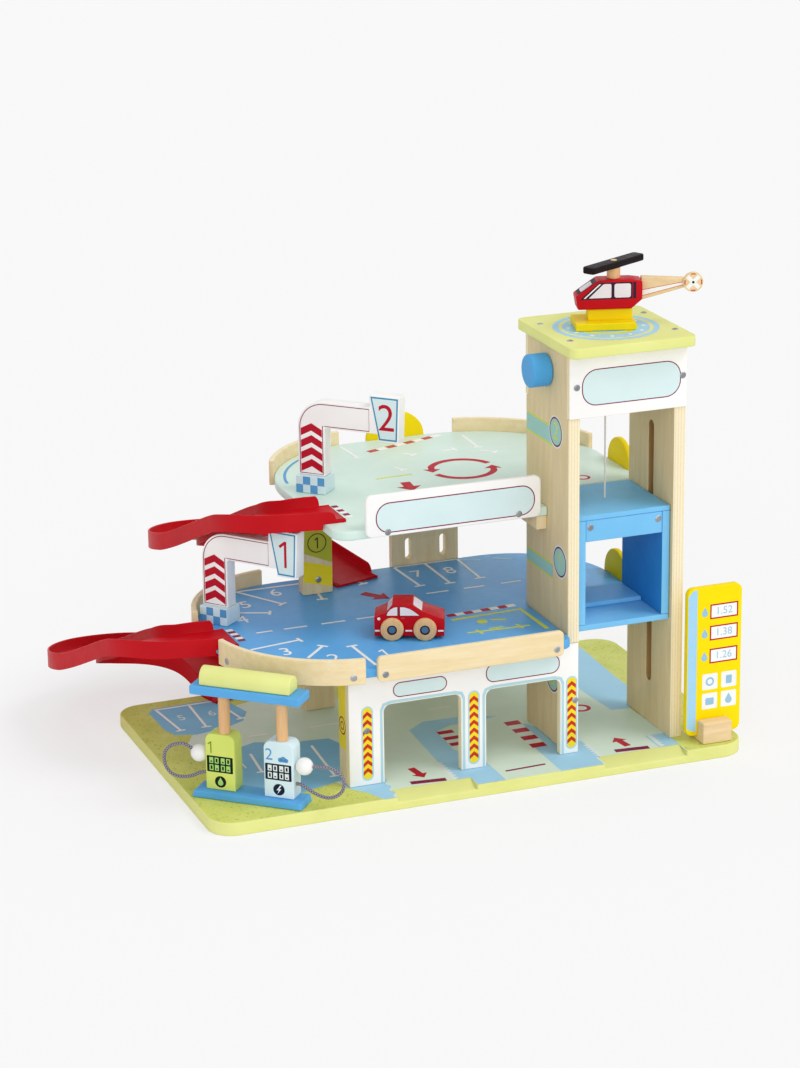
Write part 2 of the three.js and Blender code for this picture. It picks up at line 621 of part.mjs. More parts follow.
// Decks and what carries them
add('ground_front_panel', frontPanel(), paint.white);
const underDeck1 = level1 - deckThick - gap;
const underDeck2 = level2 - deckThick - gap;
add('side_post', box(panel.leftX, panel.frontY + panel.thick + gap, floorZ, sidePost.width, sidePost.depth,
  underDeck1 - floorZ), paint.birch);
add('lower_rear_post', box(rearPost.leftX, rearPost.frontY, floorZ, rearPost.width, rearPost.depth,
  underDeck1 - floorZ), paint.birch);
add('upper_rear_post', box(rearPost.leftX, rearPost.frontY, level1 + gap, rearPost.width, rearPost.depth,
  underDeck2 - level1 - gap), paint.birch);
const slotLow = level1 + panelSlot.lowZ;
const panelShape = polygon([[backPanel.leftX, floorZ], [backPanel.leftX + backPanel.width, floorZ],
  [backPanel.leftX + backPanel.width, underDeck2], [backPanel.leftX, underDeck2]]);
for (const offset of [panelSlot.firstX, panelSlot.secondX]) {
  const left = backPanel.leftX + offset;
  panelShape.holes.push(roundedRectangle(left, slotLow, left + panelSlot.width, slotLow + panelSlot.height,
    panelSlot.width / 2));
}
add('back_panel', board(panelShape, deck1.backY + gap, backPanel.thick), paint.birch);
add('deck_1', slab(deckShape(deck1), level1 - deckThick, deckThick), paint.blue);
add('deck_2', slab(deckShape(deck2), level2 - deckThick, deckThick), paint.mint);
add('deck_2_cleat', box(deckEdgeX - cleat.width, cleat.frontY, underDeck2 - cleat.height, cleat.width,
  cleat.backY - cleat.frontY, cleat.height), paint.birch);

// Rails, name board and stops
const railLow1 = level1 + deck1Rail.above - deck1Rail.height;
add('deck_1_front_rail', board(roundedRectangle(frontRail.leftX, railLow1, frontRail.rightX, railLow1 + deck1Rail.height,
  frontRail.corner), deck1.frontY - gap - railThick, railThick), paint.birch);
add('deck_1_corner_rail', arcRail(deck1.leftX + deck1.frontRadius, deck1.frontY + deck1.frontRadius,
  deck1.frontRadius, frontLeftArc, level1, deck1Rail), paint.birch);
add('deck_1_rear_rail', arcRail(deck1.leftX + deck1.backRadius, deck1.backY - deck1.backRadius, deck1.backRadius,
  backLeftArc1, level1, deck1RearRail), paint.birch);
add('deck_2_left_rail', arcRail(deck2.leftX + deck2.backRadius, deck2.backY - deck2.backRadius, deck2.backRadius,
  backLeftArc2, level2, deck2Rail), paint.birch);
add('deck_2_rear_rail', arcRail(deck2.rightX - deck2.rightRadius, deck2.backY - deck2.rightRadius,
  deck2.rightRadius, backRightArc2, level2, deck2Rail), paint.birch);
const nameTop = level2 + nameBoard.above;
add('deck_2_name_board', board(roundedRectangle(nameBoard.leftX, nameTop - nameBoard.height, nameBoard.rightX,
  nameTop, nameBoard.corner), deck2.frontY - gap - nameBoard.thick, nameBoard.thick), paint.white);
add('deck_2_back_stop', board(stopShape(backStop, level2), deck2.backY + gap, stop.thick), paint.yellow);
add('deck_2_side_stop', wall(stopShape(sideStop2, level2), deck2.rightX + gap, stop.thick), paint.yellow);
add('deck_1_side_stop', wall(stopShape(sideStop1, level1), deck1.rightX + gap, stop.thick), paint.yellow);

// Ramps
const upperRamp = add('upper_ramp', rampGeometry(upperDrop, runOut.upper), paint.red);
upperRamp.position.set(deck2.leftX + rampStart2.inset, rampStart2.y, level1 + ramp.rise);
const lowerRamp = add('lower_ramp', rampGeometry(level1 - base.thick, runOut.lower), paint.red);
lowerRamp.position.set(deck1.leftX + rampStart1.inset, rampStart1.y, base.thick + ramp.rise);

// Signs
levelSign(1, sign1, level1);
levelSign(2, sign2, level2);
const boardLow = base.thick + priceBoard.lowAbove;
add('price_sign_board', board(roundedRectangle(priceBoard.leftX, boardLow, priceBoard.leftX + priceBoard.width,
  boardLow + priceBoard.height, priceBoard.corner), priceBoard.frontY, priceBoard.thick), paint.yellow);
const footTop = floorZ + priceFoot.height;
const slotFront = priceBoard.frontY - gap;
const slotBack = priceBoard.frontY + priceBoard.thick + gap;
add('price_sign_foot', wall(polygon([
  [priceFoot.frontY, floorZ],
  [priceFoot.frontY + priceFoot.depth, floorZ],
  [priceFoot.frontY + priceFoot.depth, footTop],
  [slotBack, footTop],
  [slotBack, boardLow - gap],
  [slotFront, boardLow - gap],
  [slotFront, footTop],
  [priceFoot.frontY, footTop],
]), priceFoot.leftX, priceFoot.width), paint.beech);

// Pump island
const islandGroup = standing(island.x, island.y, floorZ, island.turn);
const pumpLow = island.thick + gap;
const pumpMiddle = island.depth / 2;
const canopyLow = pumpLow + pump.height + canopyPost.height + 2 * gap;
add('pump_island_base', board(polygon([[0, 0], [island.length, 0], [island.length - island.bevel, island.thick],
  [island.bevel, island.thick]]), 0, island.depth), paint.liftBlue, islandGroup);
add('pump_canopy', slab(roundedRectangle(0, 0, island.length, island.depth, canopy.corner), canopyLow,
  canopy.thick), paint.liftBlue, islandGroup);
const blockLow = canopyLow + canopy.thick + gap;
const blockBack = canopyBlock.front + canopyBlock.depth;
const blockShape = new THREE.Shape();
blockShape.moveTo(canopyBlock.front, blockLow);
blockShape.lineTo(blockBack, blockLow);
blockShape.lineTo(blockBack, blockLow + canopyBlock.foot);
blockShape.absellipse(canopyBlock.front + canopyBlock.depth / 2, blockLow + canopyBlock.foot, canopyBlock.depth / 2,
  canopyBlock.height - canopyBlock.foot, 0, halfTurn, false, 0);
add('pump_canopy_block', wall(blockShape, canopyBlock.along, canopyBlock.length), paint.green, islandGroup);

// One pump with its canopy post, nozzle bead and hose; side is -1 to the left and 1 to the right.
function pumpSet(number, along, postAlong, side, finish, route) {
  const top = pumpLow + pump.height;
  const shape = new THREE.Shape();
  shape.moveTo(along, pumpLow);
  shape.lineTo(along + pump.width, pumpLow);
  shape.lineTo(along + pump.width, top - pump.corner);
  shape.absarc(along + pump.width - pump.corner, top - pump.corner, pump.corner, 0, quarterTurn, false);
  shape.lineTo(along + pump.corner, top);
  shape.absarc(along + pump.corner, top - pump.corner, pump.corner, quarterTurn, halfTurn, false);
  add(`pump_${number}`, board(shape, pump.front, pump.depth), finish, islandGroup);
  add(`canopy_post_${number}`, rod(canopyPost.dia, canopyPost.height, UP, postAlong, pumpMiddle,
    top + gap), paint.beech, islandGroup);
  const sideX = side > 0 ? along + pump.width : along;
  const beadX = sideX + side * (bead.dia / 2 + gap);
  const beadGeometry = new THREE.SphereGeometry(bead.dia / 2, roundSides, roundSides / 2);
  add(`nozzle_bead_${number}`, beadGeometry.translate(beadX, pumpMiddle, bead.z - floorZ), paint.white,
    islandGroup);
  const points = route.map(([x, z]) => new THREE.Vector3(x, pumpMiddle, z - floorZ));
  add(`pump_hose_${number}`, hoseGeometry(points), paint.grey, islandGroup);
}

pumpSet(1, pump.firstAlong, canopyPost.firstAlong, -1, paint.green, hoseRoute1);
pumpSet(2, pump.secondAlong, canopyPost.secondAlong, 1, paint.paleBlue, hoseRoute2);

// Toy car
const carGroup = standing(car.x, car.y, level1 + gap, car.turn);
const axleHeight = wheel.dia / 2;
const bodyFront = wheel.width + gap;
const bodyEnd = car.wheelBase + car.front;
const bodyShape = polygon([
  [-car.rear, car.sill], [bodyEnd, car.sill], [bodyEnd, car.nose], [car.glassFront, car.bonnet],
  [car.roofFront, car.roof], [car.roofRear, car.roof], [car.bootFront, car.boot], [-car.rear, car.tail],
]);
for (const x of [0, car.wheelBase]) {
  const hole = new THREE.Path();
  hole.absarc(x, axleHeight, wheel.bore / 2, 0, 2 * halfTurn, true);
  bodyShape.holes.push(hole);
}
add('car_body', board(bodyShape, bodyFront, car.width), paint.red, carGroup);
const farWheel = bodyFront + car.width + gap;
const trackEnd = farWheel + wheel.width;
const wheelSection = [[0, 0], [wheel.dia / 2, 0], [wheel.dia / 2, wheel.width], [wheel.axle / 2, wheel.width],
  [wheel.axle / 2, farWheel], [wheel.dia / 2, farWheel], [wheel.dia / 2, trackEnd], [0, trackEnd]];
const wheelPoints = wheelSection.map(([radius, along]) => new THREE.Vector2(radius, along));
for (const [name, x] of [['car_rear_wheels', 0], ['car_front_wheels', car.wheelBase]]) {
  const wheels = new THREE.LatheGeometry(wheelPoints, roundSides);
  const mesh = add(name, wheels, paint.beech, carGroup);
  mesh.position.set(x, 0, axleHeight);
}

// Toy helicopter
const roofTop = roofLow + roof.thick;
const heliGroup = standing(heli.x, heli.y, roofTop + gap, heli.turn);
const heliMiddle = fuselage.front + fuselage.width / 2;
const bodyLow = skid.top + gap;
add('helicopter_skids', join(box(0, 0, 0, skid.length, skid.depth, skid.height), box(skid.blockLeft,
  skid.blockFront, skid.height - overrun, skid.blockLength, skid.blockDepth,
  skid.top - skid.height + overrun)), paint.yellow, heliGroup);
add('helicopter_body', board(polygon([
  [fuselage.chin, bodyLow], [fuselage.belly, bodyLow], [fuselage.rear, fuselage.rearLow],
  [fuselage.rear, fuselage.rearTop], [fuselage.roofRear, fuselage.top], [fuselage.roofFront, fuselage.top],
  [fuselage.nose, fuselage.noseZ],
]), fuselage.front, fuselage.width), paint.red, heliGroup);
add('helicopter_boom', board(polygon([
  [fuselage.rear + gap, boom.lowZ], [boom.endAlong, boom.endLow], [boom.endAlong, boom.endHigh],
  [fuselage.rear + gap, boom.highZ],
]), boom.front, boom.width), paint.beech, heliGroup);
const discBack = boom.front - gap;
add('tail_rotor', rod(tailDisc.dia, tailDisc.thick, new THREE.Vector3(0, 1, 0), tailDisc.along,
  discBack - tailDisc.thick, tailDisc.z), paint.beech, heliGroup);
const mastLow = fuselage.top + gap;
add('rotor_mast', rod(mast.dia, mast.height, UP, mast.along, heliMiddle, mastLow), paint.beech, heliGroup);
const rotorMesh = add('main_rotor', slab(roundedRectangle(-rotor.length / 2, -rotor.width / 2, rotor.length / 2,
  rotor.width / 2, rotor.width / 4), 0, rotor.thick), paint.dark, heliGroup);
rotorMesh.position.set(mast.along, heliMiddle, mastLow + mast.height + gap);
rotorMesh.rotation.z = rotor.turn;

export default garage;
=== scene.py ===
"""Looks of a wooden toy parking garage with a hand-wound lift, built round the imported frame.

Sizes and prints are given in millimetres, prints on the face that carries them, unless a name or comment says metres.
Every mesh is in metres.
"""

import json
import logging
from dataclasses import dataclass
from enum import Enum
from math import cos, dist, hypot, pi, sin, sqrt
from typing import Callable, ClassVar, Iterable, Sequence

import bmesh
import bpy
from mathutils import Matrix, Vector
from mathutils.geometry import tessellate_polygon
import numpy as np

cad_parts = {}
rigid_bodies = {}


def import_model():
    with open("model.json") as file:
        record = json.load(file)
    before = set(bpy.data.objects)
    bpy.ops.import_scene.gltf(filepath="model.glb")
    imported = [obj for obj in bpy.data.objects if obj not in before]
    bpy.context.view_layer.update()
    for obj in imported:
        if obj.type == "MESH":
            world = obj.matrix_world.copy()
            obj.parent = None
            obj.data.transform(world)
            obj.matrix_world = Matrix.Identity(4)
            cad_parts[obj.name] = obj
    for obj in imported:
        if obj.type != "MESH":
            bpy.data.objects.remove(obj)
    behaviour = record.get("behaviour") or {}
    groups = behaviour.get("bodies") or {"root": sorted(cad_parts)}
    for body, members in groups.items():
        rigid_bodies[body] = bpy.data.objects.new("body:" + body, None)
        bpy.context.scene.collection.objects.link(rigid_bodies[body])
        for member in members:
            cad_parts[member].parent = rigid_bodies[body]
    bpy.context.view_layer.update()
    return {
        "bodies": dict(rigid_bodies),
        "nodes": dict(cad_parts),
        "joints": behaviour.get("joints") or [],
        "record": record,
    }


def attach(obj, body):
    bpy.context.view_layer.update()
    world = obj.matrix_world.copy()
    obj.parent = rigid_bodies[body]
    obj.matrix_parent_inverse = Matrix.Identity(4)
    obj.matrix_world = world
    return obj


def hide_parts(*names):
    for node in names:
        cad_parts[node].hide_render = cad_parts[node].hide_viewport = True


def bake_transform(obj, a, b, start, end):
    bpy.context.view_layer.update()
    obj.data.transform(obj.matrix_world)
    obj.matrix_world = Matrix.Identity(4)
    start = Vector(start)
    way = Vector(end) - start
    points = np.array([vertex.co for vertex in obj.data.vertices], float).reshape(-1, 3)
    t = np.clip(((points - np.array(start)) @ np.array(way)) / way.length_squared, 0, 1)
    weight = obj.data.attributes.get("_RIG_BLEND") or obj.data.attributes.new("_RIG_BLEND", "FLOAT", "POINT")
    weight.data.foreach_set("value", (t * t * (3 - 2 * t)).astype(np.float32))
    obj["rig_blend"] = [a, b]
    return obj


LOG = logging.getLogger("garage")
MM = 0.001
DEGREE = pi / 180
# Widths of the edge roundings, in metres.
CRISP, EASED, SOFT, ROUND = 0.0007, 0.0008, 0.0012, 0.0016
# The middle of the lift tower, in millimetres.
TOWER_X, TOWER_Y = 173.4, -84.4
Point = tuple[float, float]
Loop = Sequence[Point]
Node, NodeTree, Socket = bpy.types.Node, bpy.types.NodeTree, bpy.types.NodeSocket
Piece, Shape = bpy.types.Object, bmesh.types.BMesh


def linear(hex_colour: str) -> tuple[float, float, float, float]:
    """Turns a screen colour into the linear values that shaders use.

    Args:
        hex_colour: six hexadecimal digits.

    Returns:
        Red, green, blue and an alpha of one.
    """
    parts = [int(hex_colour[i : i + 2], 16) / 255 for i in (0, 2, 4)]
    values = [p / 12.92 if p <= 0.04045 else ((p + 0.055) / 1.055) ** 2.4 for p in parts]
    return values[0], values[1], values[2], 1.0


class Tree:
    """A small helper that adds and links shader nodes."""

    def __init__(self, tree: NodeTree) -> None:
        """Keeps the tree that is being filled."""
        self.tree = tree

    def node(self, kind: str, inputs: dict | None = None, **settings: object) -> Node:
        """Adds a node.

        Args:
            kind: the node's type name.
            inputs: values or output sockets, by input name or number.
            settings: the node's own options.

        Returns:
            The new node.
        """
        node = self.tree.nodes.new(kind)
        for key, value in settings.items():
            setattr(node, key, value)
        for key, value in (inputs or {}).items():
            self.feed(node.inputs[key], value)
        return node

    def out(self, kind: str, inputs: dict | None = None, output: int | str = 0, **settings: object) -> Socket:
        """Adds a node and returns one of its outputs."""
        return self.node(kind, inputs, **settings).outputs[output]

    def feed(self, socket: Socket, value: object) -> None:
        """Links an output to a socket, or sets the socket's own value.

        Args:
            socket: the input.
            value: an output or a value.
        """
        if isinstance(value, Socket):
            self.tree.links.new(value, socket)
        else:
            socket.default_value = value

    def ranged(self, value: object, low: float, high: float, out_low: float, out_high: float) -> Socket:
        """Maps a value from one range to another.

        Args:
            value: the output that is mapped.
            low, high: the range that it comes from.
            out_low, out_high: the new range.

        Returns:
            The mapped output.
        """
        return self.out("ShaderNodeMapRange", {0: value, 1: low, 2: high, 3: out_low, 4: out_high})

    def mixed(self, share: object, first: object, second: object) -> Socket:
        """Mixes two colours.

        Args:
            share: how much of the second colour there is.
            first: the colour at a share of zero.
            second: the colour at a share of one.

        Returns:
            The mixed colour.
        """
        return self.out("ShaderNodeMix", {0: share, 6: first, 7: second}, 2, data_type="RGBA")

    def noise(self, vector: object, scale: float, detail: float, rough: float = 0.5) -> Socket:
        """Adds a noise pattern and returns its value."""
        return self.out("ShaderNodeTexNoise", {"Vector": vector, "Scale": scale, "Detail": detail, "Roughness": rough})

    def maths(self, operation: str, first: object, second: object) -> Socket:
        """Works out two values with the named operation and returns the result."""
        return self.out("ShaderNodeMath", {0: first, 1: second}, operation=operation)

    def stretched(self, vector: object, by: object) -> Socket:
        """Multiplies a vector by another, axis by axis, and returns the result."""
        return self.out("ShaderNodeVectorMath", {0: vector, 1: by}, operation="MULTIPLY")


class Effects:
    """Shader groups that several finishes share, each built once."""

    made: dict[str, NodeTree] = {}
    shared = {"Vector": "Vector", "Light": "Color", "Dark": "Color"}
    given = {"Colour": "Color", "Roughness": "Float", "Height": "Float"}

    @classmethod
    def group(cls, name: str, own: dict[str, str], fill: Callable) -> NodeTree:
        """Makes a group with a colour, a roughness and a height as its outputs, or finds it.

        Args:
            name: the group's name.
            own: kind of each input after the place and the two tones, by the input's name.
            fill: draws the inside; it gets the helper and the group's input sockets, and returns three outputs.

        Returns:
            The group's node tree.
        """
        if name not in cls.made:
            tree = bpy.data.node_groups.new(name, "ShaderNodeTree")
            for side, sockets in (("INPUT", cls.shared | own), ("OUTPUT", cls.given)):
                for label, kind in sockets.items():
                    tree.interface.new_socket(label, in_out=side, socket_type=f"NodeSocket{kind}")
            helper = Tree(tree)
            start = helper.node("NodeGroupInput")
            end = helper.node("NodeGroupOutput")
            for socket, value in zip(end.inputs, fill(helper, *list(start.outputs)[: len(cls.shared) + len(own)])):
                helper.feed(socket, value)
            cls.made[name] = tree
        return cls.made[name]

    @classmethod
    def grain(cls) -> NodeTree:
        """Long wood figure with fine pores.

        Returns:
            The group's tree.
        """

        def fill(t: Tree, place: object, light: object, dark: object, stretch: object) -> tuple:
            """Draws the grain from stretched noise.

            Args:
                t: helper on the group's tree.
                place, light, dark, stretch: the group's inputs.

            Returns:
                Colour, roughness and height.
            """
            along = t.stretched(place, stretch)
            figure = t.noise(along, 1.0, 4.0, 0.55)
            pores = t.noise(t.stretched(along, (6.0, 6.0, 6.0)), 1.0, 3.0, 0.6)
            share = t.ranged(figure, 0.34, 0.68, 0.0, 1.0)
            both = t.maths("ADD", t.maths("MULTIPLY", share, 0.75), t.ranged(pores, 0.45, 0.8, 0.0, 0.4))
            return t.mixed(both, light, dark), t.ranged(pores, 0.3, 0.7, 0.42, 0.6), pores

        return cls.group("wood_grain", {"Stretch": "Vector"}, fill)

    @classmethod
    def plies(cls) -> NodeTree:
        """Layers seen on the sawn edge of plywood.

        Returns:
            The group's tree.
        """

        def fill(t: Tree, place: object, light: object, dark: object, across: object) -> tuple:
            """Draws bands across the board's thickness.

            Args:
                t: helper on the group's tree.
                place, light, dark, across: the group's inputs.

            Returns:
                Colour, roughness and height.
            """
            depth = t.out("ShaderNodeVectorMath", {0: place, 1: across}, "Value", operation="DOT_PRODUCT")
            wobble = t.ranged(t.noise(place, 90.0, 3.0), 0.0, 1.0, -0.25, 0.25)
            band = t.maths("PINGPONG", t.maths("ADD", depth, wobble), 1.0)
            specks = t.noise(place, 900.0, 2.0)
            layer = t.ranged(band, 0.42, 0.58, 0.0, 1.0)
            share = t.maths("MULTIPLY", layer, t.ranged(specks, 0.3, 0.7, 0.35, 1.0))
            return t.mixed(share, light, dark), t.ranged(specks, 0.3, 0.7, 0.5, 0.7), t.maths("ADD", band, specks)

        return cls.group("edge_plies", {"Across": "Vector"}, fill)

    @classmethod
    def film(cls) -> NodeTree:
        """Satin paint with a slight tone change, fine peel and the wood just felt through it.

        Returns:
            The group's tree.
        """

        def fill(t: Tree, place: object, light: object, dark: object, satin: object) -> tuple:
            """Draws broad tone, peel and a faint grain.

            Args:
                t: helper on the group's tree.
                place, light, dark, satin: the group's inputs.

            Returns:
                Colour, roughness and height.
            """
            tone = t.ranged(t.noise(place, 22.0, 4.0), 0.3, 0.7, 0.0, 1.0)
            peel = t.noise(place, 700.0, 2.0)
            felt = t.noise(t.stretched(place, (60.0, 700.0, 700.0)), 1.0, 3.0)
            rough = t.ranged(t.noise(place, 120.0, 3.0), 0.3, 0.7, 0.0, 0.12)
            return t.mixed(tone, light, dark), t.maths("ADD", rough, satin), t.maths("ADD", peel, felt)

        return cls.group("paint_film", {"Satin": "Float"}, fill)

    @classmethod
    def turf(cls) -> NodeTree:
        """Printed grass: soft mottling with short darker tufts.

        Returns:
            The group's tree.
        """

        def fill(t: Tree, place: object, light: object, dark: object, tuft: object) -> tuple:
            """Draws the mottling and the tufts.

            Args:
                t: helper on the group's tree.
                place, light, dark, tuft: the group's inputs.

            Returns:
                Colour, roughness and height.
            """
            soft = t.ranged(t.noise(place, 28.0, 5.0, 0.6), 0.35, 0.65, 0.0, 1.0)
            blades = t.noise(t.stretched(place, (420.0, 190.0, 300.0)), 1.0, 2.0, 0.7)
            tufts = t.ranged(blades, 0.6, 0.68, 0.0, 0.8)
            return t.mixed(tufts, t.mixed(soft, light, dark), tuft), t.ranged(soft, 0.0, 1.0, 0.4, 0.5), soft

        return cls.group("printed_turf", {"Tuft": "Color"}, fill)

    @classmethod
    def braid(cls) -> NodeTree:
        """Crossing yarns of a braided hose or a twisted string, on the piece's own UV map.

        Returns:
            The group's tree.
        """

        def fill(t: Tree, place: object, light: object, dark: object, around: object, pitch: object) -> tuple:
            """Draws two sets of slanted yarns.

            Args:
                t: helper on the group's tree.
                place, light, dark, around, pitch: the group's inputs.

            Returns:
                Colour, roughness and height.
            """
            parts = t.node("ShaderNodeSeparateXYZ", {0: place})
            turn = t.maths("MULTIPLY", parts.outputs[0], around)
            along = t.maths("MULTIPLY", parts.outputs[1], pitch)
            yarns = [t.maths("PINGPONG", t.maths(slant, along, turn), 0.5) for slant in ("ADD", "SUBTRACT")]
            height = t.maths("MAXIMUM", *yarns)
            share = t.ranged(height, 0.25, 0.45, 1.0, 0.0)
            return t.mixed(share, light, dark), t.ranged(height, 0.0, 0.5, 0.95, 0.8), height

        return cls.group("braided_yarn", {"Around": "Float", "Pitch": "Float"}, fill)


@dataclass(frozen=True)
class Finish:
    """Satin paint: its name, two tones and the shader's own values. The other finishes build on it."""

    name: str
    light: str
    dark: str
    roughness: float = 0.4
    bump: float = 0.15
    coat: float = 0.0
    metallic: float = 0.0
    shine: float = 0.1
    coat_roughness: ClassVar[float] = 0.15
    bump_depth: ClassVar[float] = 0.0002
    space: ClassVar[str] = "Object"
    effect: ClassVar[Callable[[], NodeTree]] = Effects.film

    def own(self) -> tuple:
        """What the group gets after the place and the two tones."""
        return (self.roughness,)

    def dress(self, t: Tree, shader: Node) -> Socket:
        """Links the finish's group to the shader.

        Args:
            t: helper of the material's tree.
            shader: the material's shader.

        Returns:
            The group's height output.
        """
        place = t.out("ShaderNodeTexCoord", output=self.space)
        group = t.node("ShaderNodeGroup", node_tree=self.effect())
        for socket, value in zip(group.inputs, (place, linear(self.light), linear(self.dark), *self.own())):
            t.feed(socket, value)
        t.feed(shader.inputs["Base Color"], group.outputs[0])
        t.feed(shader.inputs["Roughness"], group.outputs[1])
        return group.outputs[2]

    def material(self) -> bpy.types.Material:
        """Makes the material, or finds it.

        Returns:
            The material that carries this finish.
        """
        label = f"{self.name}_dressed"
        known = bpy.data.materials.get(label)
        if known:
            return known
        material = bpy.data.materials.new(label)
        material.use_nodes = True
        t = Tree(material.node_tree)
        shader = material.node_tree.nodes["Principled BSDF"]
        for key, value in (("Metallic", self.metallic), ("Coat Weight", self.coat),
                           ("Coat Roughness", self.coat_roughness), ("Specular IOR Level", self.shine)):
            shader.inputs[key].default_value = value
        height = self.dress(t, shader)
        bump = t.out("ShaderNodeBump", {"Strength": self.bump, "Distance": self.bump_depth, "Height": height})
        t.feed(shader.inputs["Normal"], bump)
        material.diffuse_color = linear(self.light)
        return material


@dataclass(frozen=True)
class Timber(Finish):
    """Bare wood with its grain along one axis."""

    along: str = "x"
    long_scale: ClassVar[float] = 14.0
    cross_scale: ClassVar[float] = 150.0
    effect: ClassVar[Callable[[], NodeTree]] = Effects.grain

    def own(self) -> tuple:
        """How dense the grain is along each axis."""
        return ([self.long_scale if axis == self.along else self.cross_scale for axis in "xyz"],)


@dataclass(frozen=True)
class Plies(Finish):
    """The sawn edge of plywood, its layers stacked along one axis."""

    across: tuple[float, float, float] = (0.0, 0.0, 1.0)
    layer: ClassVar[float] = 0.0016
    effect: ClassVar[Callable[[], NodeTree]] = Effects.plies

    def own(self) -> tuple:
        """The direction of the stack, in layers for a metre."""
        return ([share / self.layer for share in self.across],)


@dataclass(frozen=True)
class Turf(Finish):
    """Printed grass with darker tufts."""

    tuft: str = "9aa83c"
    effect: ClassVar[Callable[[], NodeTree]] = Effects.turf

    def own(self) -> tuple:
        """The colour of the tufts."""
        return (linear(self.tuft),)


@dataclass(frozen=True)
class Yarn(Finish):
    """Braided or twisted yarn on a UV map."""

    around: float = 4.0
    pitch: float = 420.0
    space: ClassVar[str] = "UV"
    effect: ClassVar[Callable[[], NodeTree]] = Effects.braid

    def own(self) -> tuple:
        """Yarns round the piece and along a metre of it."""
        return self.around, self.pitch


BIRCH = Timber("birch_face", "efdcb4", "e3ca9a", along="z")
BIRCH_LONG = Timber("birch_rail", "f3e1b9", "ead2a0", along="x")
BIRCH_DEEP = Timber("birch_side", "e6d4ab", "dbc596", along="z")
BEECH = Timber("beech", "e8bf8e", "dba772", along="z")
BEECH_LONG = Timber("beech_long", "e6c08f", "d9a873", along="x")
PALE_BEECH = Timber("pale_beech", "efd6ab", "e3c08c", along="x")
PLY_X = Plies("ply_edge_x", "f6eacb", "ead8ad", across=(1.0, 0.0, 0.0))
PLY_Y = Plies("ply_edge_y", "f6eacb", "ead8ad", across=(0.0, 1.0, 0.0))
LIME = Finish("lime_paint", "e6e795", "e0e28c")
TURF = Turf("grass_print", "d6db76", "c9d065", tuft="a4ae48")
BLUE = Finish("blue_paint", "5fb0ee", "57a8e8", roughness=0.3, shine=0.25)
KNOB_BLUE = Finish("knob_blue", "55a9e4", "4b9fdb", roughness=0.35)
MINT = Finish("mint_paint", "d8ede3", "d1e8dc", roughness=0.32, shine=0.2)
UNDERSIDE = Timber("birch_underside", "eee6d6", "e6dac2", along="x")
LIFT_BLUE = Finish("lift_blue_paint", "7fc6f2", "75beee")
# Painted shade: a deeper blue for the inner face of the lift's right wall.
LIFT_SHADE_BLUE = Finish("lift_painted_shade_blue", "2f86cb", "297fc2", roughness=0.45)
ISLAND_BLUE = Finish("island_blue", "62b0ea", "59a6e1")
WHITE = Finish("white_paint", "fbfaf8", "f7f5f3")
YELLOW = Finish("yellow_paint", "f7dc14", "efd20c")
SIGN_YELLOW = Finish("sign_yellow", "ffe400", "fadd00")
RED = Finish("red_paint", "c90f1e", "be0b19", roughness=0.32)
RED_PLASTIC = Finish("red_plastic", "c60c1b", "bd0a17", roughness=0.36, bump=0.02, shine=0.12)
GREEN = Finish("green_paint", "dbe678", "d3df6e")
CANOPY = Finish("canopy_lime", "e9ec98", "e3e68e", roughness=0.45)
PALE_BLUE = Finish("pale_blue_paint", "def1f6", "d5ebf2")
DARK = Finish("dark_paint", "1a1214", "150d10", roughness=0.45)
BEAD_WHITE = Finish("bead_white", "f6f5f3", "f0efec", roughness=0.25, coat=0.3)
BRAID = Yarn("hose_braid", "aaa6b2", "4c4757", bump=0.9, around=3.0, pitch=330.0)
STRING = Yarn("lift_string", "f6f5f2", "dedad2", bump=0.4, around=1.0, pitch=500.0)
ZINC = Finish("zinc", "b4b5b8", "85868a", roughness=0.3, bump=0.5, metallic=1.0)
# Painted shade: a dark brown wood for the cut faces inside the tower walls' grooves.
GROOVE_SHADE_BROWN = Timber("groove_painted_shade", "b08c58", "9c7846", along="z")
INK_ROAD = Finish("ink_road", "dceee0", "d5e8d8")
INK_SKY = Finish("ink_light_blue", "a9d8f2", "a1d1ee")
INK_BAY = Finish("ink_bay_blue", "86c3e8", "7dbbe2")
INK_WHITE = Finish("ink_white", "f8f8f6", "f1f1ee")
INK_SOFT_WHITE = Finish("ink_soft_white", "e6efec", "dde8e4")
INK_CRIMSON = Finish("ink_crimson", "8a1847", "7f143f")
INK_RED = Finish("ink_red", "bf1730", "b4132a")
INK_ROSE = Finish("ink_rose", "c95b4e", "bf5146")
INK_MINT = Finish("ink_mint", "dceff0", "d5eaeb")
INK_FRAME = Finish("ink_pale_frame", "b9dde6", "b0d6e0")
INK_CHEVRON = Finish("ink_orange_red", "d13a26", "c63320")
INK_YELLOW = Finish("ink_yellow", "fbe332", "f2d92a")
INK_OLIVE = Finish("ink_olive", "c6c540", "bcbb39")
INK_DARK_OLIVE = Finish("ink_dark_olive", "7f9a22", "76901c")
INK_NAVY = Finish("ink_navy", "16233f", "121d36")
INK_BLACK = Finish("ink_black", "15201a", "101a14")
INK_DIGIT_GREEN = Finish("ink_digit_green", "a9d977", "a0d06e")
INK_DIGIT_BLUE = Finish("ink_digit_blue", "9cc8e3", "93c0dd")
INK_MID_BLUE = Finish("ink_mid_blue", "64a4d9", "5a9bd0")
INK_TAG_BLUE = Finish("ink_tag_blue", "3f93bd", "378ab4")
INK_GLASS = Finish("ink_window", "efe6ea", "e6dce1", roughness=0.25)
INK_PLUM = Finish("ink_plum", "3a2033", "331b2d")
INK_HUB = Finish("ink_hub", "5c7f9e", "4f718f")
INK_RING_YELLOW = Finish("ink_ring_yellow", "dbe155", "d2d94c")
INK_BADGE = Finish("ink_badge_teal", "a6d3cd", "9dccc5")


class Face(Enum):
    """Which way a board's broad faces look."""

    X = 0
    Y = 1
    Z = 2


